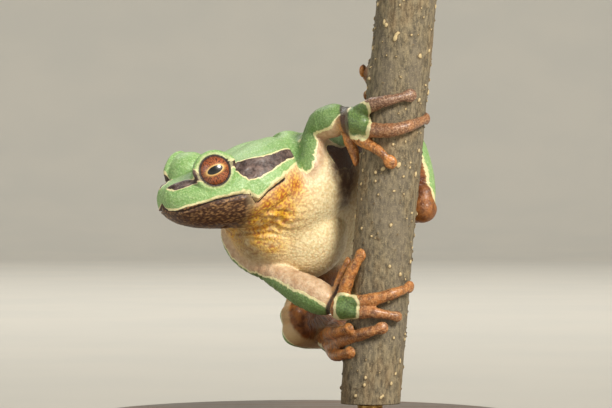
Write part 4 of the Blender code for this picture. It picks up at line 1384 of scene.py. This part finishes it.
def colour(red, green, blue):
    """A linear colour from the usual 0 to 255 screen values."""
    parts = [value / 255.0 for value in (red, green, blue)]
    return (*(part / 12.92 if part <= 0.04045 else ((part + 0.055) / 1.055) ** 2.4 for part in parts), 1.0)


class Paint:
    """A material's node tree, built up a node at a time."""

    def __init__(self, name):
        self.material = bpy.data.materials.new(name)
        self.material.use_nodes = True
        self.tree = self.material.node_tree
        self.shader = self.tree.nodes["Principled BSDF"]
        self.place = self.new("ShaderNodeTexCoord").outputs["Object"]

    def new(self, kind, inputs=(), **settings):
        """A node with its settings, and its inputs plugged or set."""
        node = self.tree.nodes.new(kind)
        for key, value in settings.items():
            setattr(node, key, value)
        for socket, value in dict(inputs).items():
            self.plug(node.inputs[socket], value)
        return node

    def plug(self, socket, value):
        if isinstance(value, bpy.types.NodeSocket):
            self.tree.links.new(value, socket)
        else:
            socket.default_value = value

    def value(self, name):
        """A value kept on the mesh's points."""
        return self.new("ShaderNodeAttribute", attribute_name=name).outputs["Fac"]

    def math(self, operation, first, second=0.0, clamp=False):
        parts = enumerate((first, second))
        return self.new("ShaderNodeMath", parts, operation=operation, use_clamp=clamp).outputs[0]

    def plus(self, first, second):
        return self.math("ADD", first, second)

    def times(self, first, second):
        return self.math("MULTIPLY", first, second)

    def sway(self, value, texture, amount):
        """A value moved up and down by a texture."""
        return self.plus(value, self.times(self.math("SUBTRACT", texture, 0.5), amount))

    def length(self, first, second):
        """Square root of the sum of two squares."""
        return self.math("SQRT", self.plus(self.times(first, first), self.times(second, second)))

    def step(self, value, low, high, top=1.0, bottom=0.0):
        """Smooth change of a value from low to high."""
        parts = enumerate((value, low, high, bottom, top))
        return self.new("ShaderNodeMapRange", parts, interpolation_type="SMOOTHSTEP").outputs[0]

    def mix(self, share, first, second):
        parts = {"Factor": share, "A": first, "B": second}
        node = self.new("ShaderNodeMix", data_type="RGBA", clamp_factor=True)
        for socket in node.inputs:
            if socket.name in parts and (socket.name == "Factor" or socket.type == "RGBA"):
                self.plug(node.inputs[socket.name], parts[socket.name])
        return next(output for output in node.outputs if output.type == "RGBA")

    def over(self, base, tone, value, low, high, top=1.0, bottom=0.0):
        """Lay a colour over another where a value passes from low to high."""
        return self.mix(self.step(value, low, high, top, bottom), base, tone)

    def stretch(self, along):
        """The object's own coordinates with each axis scaled."""
        return self.new("ShaderNodeMapping", {"Vector": self.place, "Scale": along}).outputs[0]

    def noise(self, size, detail=3.0, rough=0.55, place=None, warp=0.0):
        """Fractal noise with features of a size in millimetres."""
        parts = {"Vector": place or self.place, "Scale": 1.0 / (size * MM), "Detail": detail}
        parts.update(Roughness=rough, Distortion=warp)
        return self.new("ShaderNodeTexNoise", parts).outputs["Fac"]

    def cells(self, size):
        """Distance from the middles of cells of a size in millimetres."""
        parts = {"Vector": self.place, "Scale": 1.0 / (size * MM)}
        return self.new("ShaderNodeTexVoronoi", parts).outputs["Distance"]

    def bump(self, height, distance, strength=1.0):
        parts = {"Strength": strength, "Distance": distance * MM, "Height": height}
        return self.new("ShaderNodeBump", parts).outputs[0]

    def finish(self, **sockets):
        for name, value in sockets.items():
            self.plug(self.shader.inputs[name.replace("_", " ")], value)
        return self.material


GREEN_LIGHT = colour(182, 210, 150)
GREEN = colour(138, 178, 104)
GREEN_DEEP = colour(100, 142, 70)
OLIVE = colour(103, 129, 64)
OLIVE_DEEP = colour(72, 93, 45)
CREAM = colour(232, 222, 170)
STRIPE_DARK = colour(56, 38, 34)
STRIPE_PALE = colour(128, 106, 98)
HOLLOW_SKIN_AND_SHADE = colour(84, 62, 50)
BELLY_PALE = colour(240, 224, 180)
BELLY_TAN = colour(222, 198, 148)
JAW_DARK = colour(68, 40, 24)
MOUTH_DARK = colour(40, 24, 18)
JAW_PALE = colour(168, 128, 84)
RUST = colour(178, 88, 18)
GOLD = colour(240, 184, 34)
UMBER = colour(96, 64, 38)
PINK = colour(214, 188, 156)
PINK_DEEP = colour(182, 146, 112)
DIGIT = colour(207, 130, 55)
DIGIT_PALE = colour(233, 176, 101)
DIGIT_DEEP = colour(112, 66, 34)
DIGIT_PLUM = colour(112, 78, 58)
PLUM_PALE = colour(176, 140, 112)
LEG_INNER_SHADED = colour(90, 45, 18)
LEG_PALE = colour(204, 172, 124)
IRIS_DARK = colour(30, 13, 8)
IRIS = colour(170, 88, 48)
IRIS_PALE = colour(226, 150, 92)
IRIS_EDGE = colour(120, 50, 26)
IRIS_GOLD = colour(214, 158, 86)
PUPIL_RIM = colour(226, 184, 112)
PUPIL_DARK = colour(6, 5, 6)
EYE_DARK = colour(18, 12, 10)
BLACK = (0.0, 0.0, 0.0, 1.0)


def paint_underside(p, mottle, broad):
    """Granular cream belly with gold, rust and brown patches, painted shade beside the left arm, and the dark
    jaw.
    """
    grain = p.value("grain")
    belly = p.over(BELLY_TAN, BELLY_PALE, grain, 0.05, 0.55)
    belly = p.over(belly, PINK, broad, 0.5, 0.78, 0.2)
    # Umber for the brown throat patches and for the painted shade beside the left arm
    belly = p.mix(p.times(p.value("brown"), p.step(mottle, 0.3, 0.6, 0.85, 0.45)), belly, UMBER)
    gold = p.over(RUST, GOLD, grain, -0.05, 0.45)
    belly = p.mix(p.times(p.value("yellow"), p.step(mottle, 0.3, 0.6, 1.0, 0.45)), belly, gold)
    rust = p.over(RUST, GOLD, p.plus(grain, p.times(mottle, 0.6)), 0.35, 1.0)
    belly = p.mix(p.times(p.value("rust"), 0.95), belly, rust)
    jaw = p.over(JAW_DARK, JAW_PALE, p.value("fine"), 0.2, 0.7, 0.85)
    jaw = p.over(jaw, UMBER, mottle, 0.35, 0.7, 0.35)
    return p.mix(p.value("jaw"), belly, jaw)


def paint_limbs(p, base, mottle, fine):
    """Pinkish arms, brown inner legs darkened with painted shade and with a pale band beside the green, and
    orange or brown digits.
    """
    arm = p.over(PINK_DEEP, PINK, mottle, 0.3, 0.7)
    # Inner legs: their brown darkened as painted shade
    leg = p.over(LEG_INNER_SHADED, DIGIT, mottle, 0.3, 0.75, 0.4)
    leg = p.over(leg, LEG_PALE, p.plus(p.value("green"), p.value("pale")), -0.1, 0.45)
    tip = p.over(DIGIT_DEEP, DIGIT, mottle, 0.3, 0.7)
    tip = p.over(tip, DIGIT_PALE, fine, 0.45, 0.7, 0.5)
    tip = p.mix(p.value("tone"), tip, p.over(DIGIT_PLUM, PLUM_PALE, fine, 0.4, 0.68))
    for part, tone in (("flesh", arm), ("leg", leg), ("digit", tip)):
        base = p.mix(p.value(part), base, tone)
    return base


def paint_green(p, mottle, broad, fine):
    """Green of the back, finely speckled, and more olive on the limbs and hands."""
    back = p.over(GREEN, GREEN_LIGHT, mottle, 0.3, 0.75, 0.6)
    back = p.over(back, GREEN_DEEP, broad, 0.5, 0.8, 0.3)
    back = p.over(back, GREEN_DEEP, p.cells(0.22), 0.0, 0.5, 0.3)
    back = p.over(back, GREEN_LIGHT, fine, 0.5, 0.64, 0.7)
    back = p.over(back, GREEN_DEEP, p.noise(0.4, 3.0), 0.56, 0.72, 0.45)
    limb = p.math("ADD", p.times(p.value("flesh"), 0.55), p.times(p.value("digit"), 0.9), clamp=True)
    return p.mix(limb, back, p.over(OLIVE_DEEP, OLIVE, fine, 0.35, 0.65))


def paint_skin():
    """Moist skin: green back, dark side stripe, cream lines, granular belly, orange digits."""
    p = Paint("frog_skin")
    broad, mottle, fine = p.noise(3.5, 3.0), p.noise(0.9, 4.0), p.noise(0.22, 3.0)
    base = paint_limbs(p, paint_underside(p, mottle, broad), mottle, fine)
    edge = p.sway(p.value("green"), mottle, 0.35)
    base = p.over(base, CREAM, edge, -0.36, -0.28)
    base = p.over(base, paint_green(p, mottle, broad, fine), edge, -0.08, 0.1)
    base = p.over(base, STRIPE_DARK, p.sway(p.value("wrist"), mottle, 0.5), 0.35, 0.7, 0.9)
    stripe = p.over(STRIPE_DARK, STRIPE_PALE, mottle, 0.4, 0.75)
    stripe = p.over(stripe, STRIPE_PALE, p.cells(0.5), 0.0, 0.45, 0.0, 0.4)
    edge = p.sway(p.value("dark"), mottle, 0.3)
    base = p.over(base, CREAM, edge, -0.22, -0.1)
    base = p.over(base, stripe, edge, -0.03, 0.05)
    # Painted shade over darker skin in the hollow behind the left arm
    base = p.mix(p.times(p.value("hollow"), p.step(mottle, 0.25, 0.6, 0.95, 0.5)), base, HOLLOW_SKIN_AND_SHADE)
    base = p.over(base, MOUTH_DARK, p.value("mouth"), 0.15, 0.06)
    base = p.over(base, JAW_DARK, p.value("nostril"), 0.26, 0.14)
    base = p.over(base, CREAM, p.value("lid"), 0.3, 0.2, 0.4)
    base = p.over(base, STRIPE_DARK, p.value("lid"), 0.13, 0.07)
    height = p.plus(p.times(fine, 0.5), p.times(p.cells(0.28), -0.5))
    return p.finish(
        Base_Color=base, Roughness=p.step(mottle, 0.3, 0.7, 0.56, 0.44), Normal=p.bump(height, 0.1),
        Subsurface_Weight=0.1, Subsurface_Scale=0.0006, Subsurface_Radius=(1.0, 0.45, 0.25),
        Coat_Weight=p.plus(p.times(p.value("digit"), 0.2), 0.14), Coat_Roughness=0.26,
    )


def paint_eye():
    """Copper iris with dark veins, a gold-rimmed horizontal pupil and a wet surface."""
    p = Paint("frog_eye")
    x, y = p.value("eye_x"), p.value("eye_y")
    c, s = math.cos(PUPIL_TILT), math.sin(PUPIL_TILT)
    long = p.plus(p.times(x, c), p.times(y, s))
    tall = p.math("SUBTRACT", p.times(y, c), p.times(x, s))
    oval = p.length(p.math("DIVIDE", long, PUPIL_LONG), p.math("DIVIDE", tall, PUPIL_TALL))
    radius = p.length(x, y)
    turn = p.math("ARCTAN2", y, x)
    spokes = [p.times(p.math(kind, turn), 3.2) for kind in ("COSINE", "SINE")] + [p.times(radius, 0.7)]
    around = p.new("ShaderNodeCombineXYZ", enumerate(spokes)).outputs[0]
    veins = {"Vector": around, "Scale": 3.4, "Detail": 4.0, "Roughness": 0.7}
    vein = p.new("ShaderNodeTexNoise", veins).outputs["Fac"]
    iris = p.over(IRIS_DARK, IRIS, vein, 0.44, 0.54)
    iris = p.over(iris, IRIS_PALE, p.noise(0.12, 2.0), 0.5, 0.72, 0.7)
    iris = p.over(iris, IRIS_EDGE, radius, 1.0, 1.75, 0.5)
    iris = p.over(iris, IRIS_GOLD, oval, 1.75, 1.15, 0.8)
    base = p.over(iris, PUPIL_RIM, oval, 1.32, 1.18)
    base = p.over(base, PUPIL_DARK, oval, 1.1, 1.0)
    base = p.over(base, EYE_DARK, radius, 1.68, 1.76)
    normal = p.bump(p.over(vein, BLACK, oval, 1.12, 1.0), 0.04, 0.5)
    return p.finish(
        Base_Color=base, Roughness=0.35, Normal=normal, Coat_Weight=1.0, Coat_Roughness=0.02, Coat_IOR=1.45,
    )


def paint_sawn_wood(p, grit):
    """Pale sawn wood with growth rings round a dark pith, and a green layer under the bark."""
    split = p.new("ShaderNodeSeparateXYZ", {0: p.place}).outputs
    low, high = STEM_AXIS[0][0], STEM_AXIS[-1][0]
    axis = p.plus(p.times(p.step(split[2], 0.03, 0.04), (high - low) * MM), low * MM)
    away = p.length(p.math("SUBTRACT", split[0], axis), p.math("SUBTRACT", split[1], STEM_Y * MM))
    wobble = p.times(p.noise(2.0, 2.0), 5.4)
    rings = p.math("SINE", p.plus(p.times(away, 2 * math.pi / (0.62 * MM)), wobble))
    wood = p.over(colour(214, 186, 132), colour(180, 144, 92), rings, -0.6, 0.9)
    wood = p.over(wood, colour(134, 96, 56), away, 0.7 * MM, 0.45 * MM)
    wood = p.over(wood, colour(96, 92, 52), away, 3.1 * MM, 3.4 * MM)
    return p.over(wood, colour(150, 116, 74), grit, 0.4, 0.75, 0.4)


def paint_bark():
    """Grey-brown bark in long fine streaks, with pale corky warts and pale sawn wood."""
    p = Paint("stem_bark")
    streaks = p.noise(0.42, 5.0, 0.65, p.stretch((1.0, 1.0, 0.4)))
    patches = p.noise(3.2, 3.0, 0.6, p.stretch((1.0, 1.0, 0.45)))
    grit = p.noise(0.16, 3.0)
    bark = p.over(colour(76, 68, 54), colour(146, 132, 104), streaks, 0.34, 0.66)
    bark = p.over(bark, colour(114, 104, 90), patches, 0.42, 0.66, 0.6)
    bark = p.over(bark, colour(150, 118, 78), patches, 0.5, 0.3, 0.35)
    bark = p.over(bark, colour(176, 160, 126), grit, 0.5, 0.72, 0.5)
    bark = p.over(bark, colour(126, 76, 38), p.value("bud"), 0.3, 0.8, 0.75)
    wart = p.sway(p.value("wart"), grit, 0.4)
    bark = p.over(bark, colour(104, 84, 58), wart, 0.16, 0.4)
    bark = p.over(bark, colour(208, 186, 140), wart, 0.4, 0.66)
    base = p.mix(p.value("cut"), bark, paint_sawn_wood(p, grit))
    height = p.plus(p.times(streaks, 0.7), p.times(grit, 0.4))
    rough = p.step(grit, 0.3, 0.7, 0.92, 0.74)
    return p.finish(Base_Color=base, Roughness=rough, Normal=p.bump(height, 0.12, 0.8))


def paint_wood():
    """Dark oiled hardwood, its grain running across the base, with pores and a satin finish."""
    p = Paint("stand_wood")
    board = p.stretch((0.1, 1.0, 1.0))
    long = p.noise(2.6, 4.0, 0.6, board, 0.4)
    waves = {"Vector": board, "Scale": 190.0, "Distortion": 5.0, "Detail": 3.0}
    lines = p.new("ShaderNodeTexWave", waves, bands_direction="Y", wave_profile="SAW").outputs["Fac"]
    pores = p.noise(0.35, 2.0, 0.5, p.stretch((0.06, 1.0, 1.0)))
    wood = p.over(colour(58, 34, 20), colour(112, 70, 42), long, 0.3, 0.7)
    wood = p.mix(p.times(lines, 0.45), wood, colour(46, 26, 16))
    wood = p.over(wood, colour(28, 16, 10), pores, 0.62, 0.72, 0.6)
    return p.finish(
        Base_Color=wood, Roughness=p.step(long, 0.3, 0.7, 0.42, 0.3), Coat_Weight=0.25, Coat_Roughness=0.22,
        Normal=p.bump(p.plus(p.times(pores, -0.8), long), 0.06, 0.5),
    )


def paint_brass():
    """Brushed brass, its fine lines running round the rod, slightly dulled."""
    p = Paint("stand_brass")
    brush = p.noise(0.5, 3.0, 0.6, p.stretch((0.15, 0.15, 9.0)))
    metal = p.over(colour(206, 168, 96), colour(160, 120, 62), p.noise(0.9, 3.0), 0.35, 0.7)
    roughness = p.step(brush, 0.3, 0.7, 0.42, 0.24)
    return p.finish(Base_Color=metal, Metallic=1.0, Roughness=roughness, Normal=p.bump(brush, 0.02, 0.4))


# The model, piece by piece

def add(piece, nodes):
    """Tell the frame what a piece rides on, which nodes it replaces."""
    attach(piece, "root")
    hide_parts(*nodes)


add(mesh_piece("frog_skin", *sculpt_skin(), paint_skin()), FLESH_NODES)
eye_paint = paint_eye()
for eye_side, eye_word in ((1, "left"), (-1, "right")):
    add(eye_piece("frog_eye_" + eye_word, eye_side, eye_paint), ["eye_" + eye_word])
add(mesh_piece("stem_with_bark", *bark_arrays(), paint_bark()), ["perch"])
add(lathe("turned_base", BASE_STEPS, (0.0, 0.0), paint_wood()), ["stand_base"])
rod_steps = (
    (0.0, ROD_LOW), (ROD_EDGE, ROD_LOW), (ROD_RADIUS, ROD_LOW + ROD_BEVEL),
    (ROD_RADIUS, ROD_HIGH - ROD_BEVEL),
    (ROD_EDGE, ROD_HIGH), (0.0, ROD_HIGH),
)
add(lathe("brass_rod", rod_steps, ROD_PLACE, paint_brass(), 96, 2), ["stand_rod"])


# The studio, in metres

COVE_REACH = 1.3
COVE_RADIUS = 0.5
COVE_TOP = 1.6
COVE_SIDES = 96
COVE_STEPS = 12
AIM = (0.0, -0.006, 0.033)
# Each light: place, target, size, power and tint
LIGHTS = {
    "key_light": ((0.72, -0.96, 0.84), AIM, 0.45, 26.0, (1.0, 0.96, 0.88)),
    "fill_light": ((-1.1, -0.85, 0.4), AIM, 1.2, 4.6, (0.92, 0.96, 1.0)),
    "back_light": ((-0.37, 0.8, 1.1), AIM, 0.7, 5.6, (1.0, 0.98, 0.94)),
    "wall_light": ((0.0, 0.3, 0.8), (0.0, 1.8, 0.35), 0.6, 7.0, (1.0, 0.98, 0.95)),
}
WORLD_TINT = colour(236, 238, 240)
WORLD_POWER = 0.22
CAMERA_PLACE = (0.0, -0.358, 0.033)
CAMERA_LENS = 164.7
CAMERA_SENSOR = 36.0
CAMERA_NEAR = 0.01


def sweep_backdrop():
    """A pale seamless floor that curves up all round, like a studio cove."""
    turns = [0.5 * math.pi * step / COVE_STEPS for step in range(COVE_STEPS + 1)]
    profile = [(0.05, 0.0), (0.4, 0.0), (0.9, 0.0)]
    for turn in turns:
        profile.append((COVE_REACH + COVE_RADIUS * math.sin(turn), COVE_RADIUS * (1 - math.cos(turn))))
    profile.append((COVE_REACH + COVE_RADIUS, COVE_TOP))
    turn = full_turn(COVE_SIDES)
    circle = np.stack([np.cos(turn), np.sin(turn), turn * 0], 1)
    rings = [circle * away + (0.0, 0.0, height) for away, height in profile]
    mesh = bpy.data.meshes.new("backdrop")
    middle = len(rings) * COVE_SIDES
    points = np.concatenate(rings + [np.zeros((1, 3))])
    floor = [(middle, column, (column + 1) % COVE_SIDES) for column in range(COVE_SIDES)]
    mesh.from_pydata(points.tolist(), [], floor + ring_faces(len(rings), COVE_SIDES)[:, ::-1].tolist())
    mesh.polygons.foreach_set("use_smooth", [True] * len(mesh.polygons))
    paper = Paint("backdrop_paper")
    tint = paper.over(colour(190, 186, 176), colour(186, 183, 174), paper.noise(60.0, 2.0), 0.3, 0.7)
    mesh.materials.append(paper.finish(Base_Color=tint, Roughness=0.9))
    backdrop = bpy.data.objects.new("backdrop", mesh)
    bpy.context.scene.collection.objects.link(backdrop)
    backdrop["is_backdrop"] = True


def area_light(name, place, target, size, power, tint):
    """A round soft light at a place, turned to a target."""
    light = bpy.data.lights.new(name, "AREA")
    light.shape = "DISK"
    light.size = size
    light.energy = power
    light.color = tint
    lamp = bpy.data.objects.new(name, light)
    bpy.context.scene.collection.objects.link(lamp)
    lamp.location = place
    lamp.rotation_euler = (Vector(target) - Vector(place)).to_track_quat("-Z", "Y").to_euler()


sweep_backdrop()
for light_name, settings in LIGHTS.items():
    area_light(light_name, *settings)
world = bpy.data.worlds.new("studio")
world.use_nodes = True
world.node_tree.nodes["Background"].inputs[0].default_value = WORLD_TINT
world.node_tree.nodes["Background"].inputs[1].default_value = WORLD_POWER
bpy.context.scene.world = world
bpy.context.scene.view_settings.view_transform = "Standard"

camera_data = bpy.data.cameras.new("camera")
camera_data.sensor_width = CAMERA_SENSOR
camera_data.lens = CAMERA_LENS
camera_data.clip_start = CAMERA_NEAR
camera = bpy.data.objects.new("camera", camera_data)
camera.location = CAMERA_PLACE
camera.rotation_euler = (math.pi / 2, 0.0, 0.0)
bpy.context.scene.collection.objects.link(camera)
bpy.context.scene.camera = camera

box_at_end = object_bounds()
sizes = {"at_load": box_at_load, "at_end": box_at_end}
sizes = {moment: [list(corner) for corner in box] for moment, box in sizes.items()}
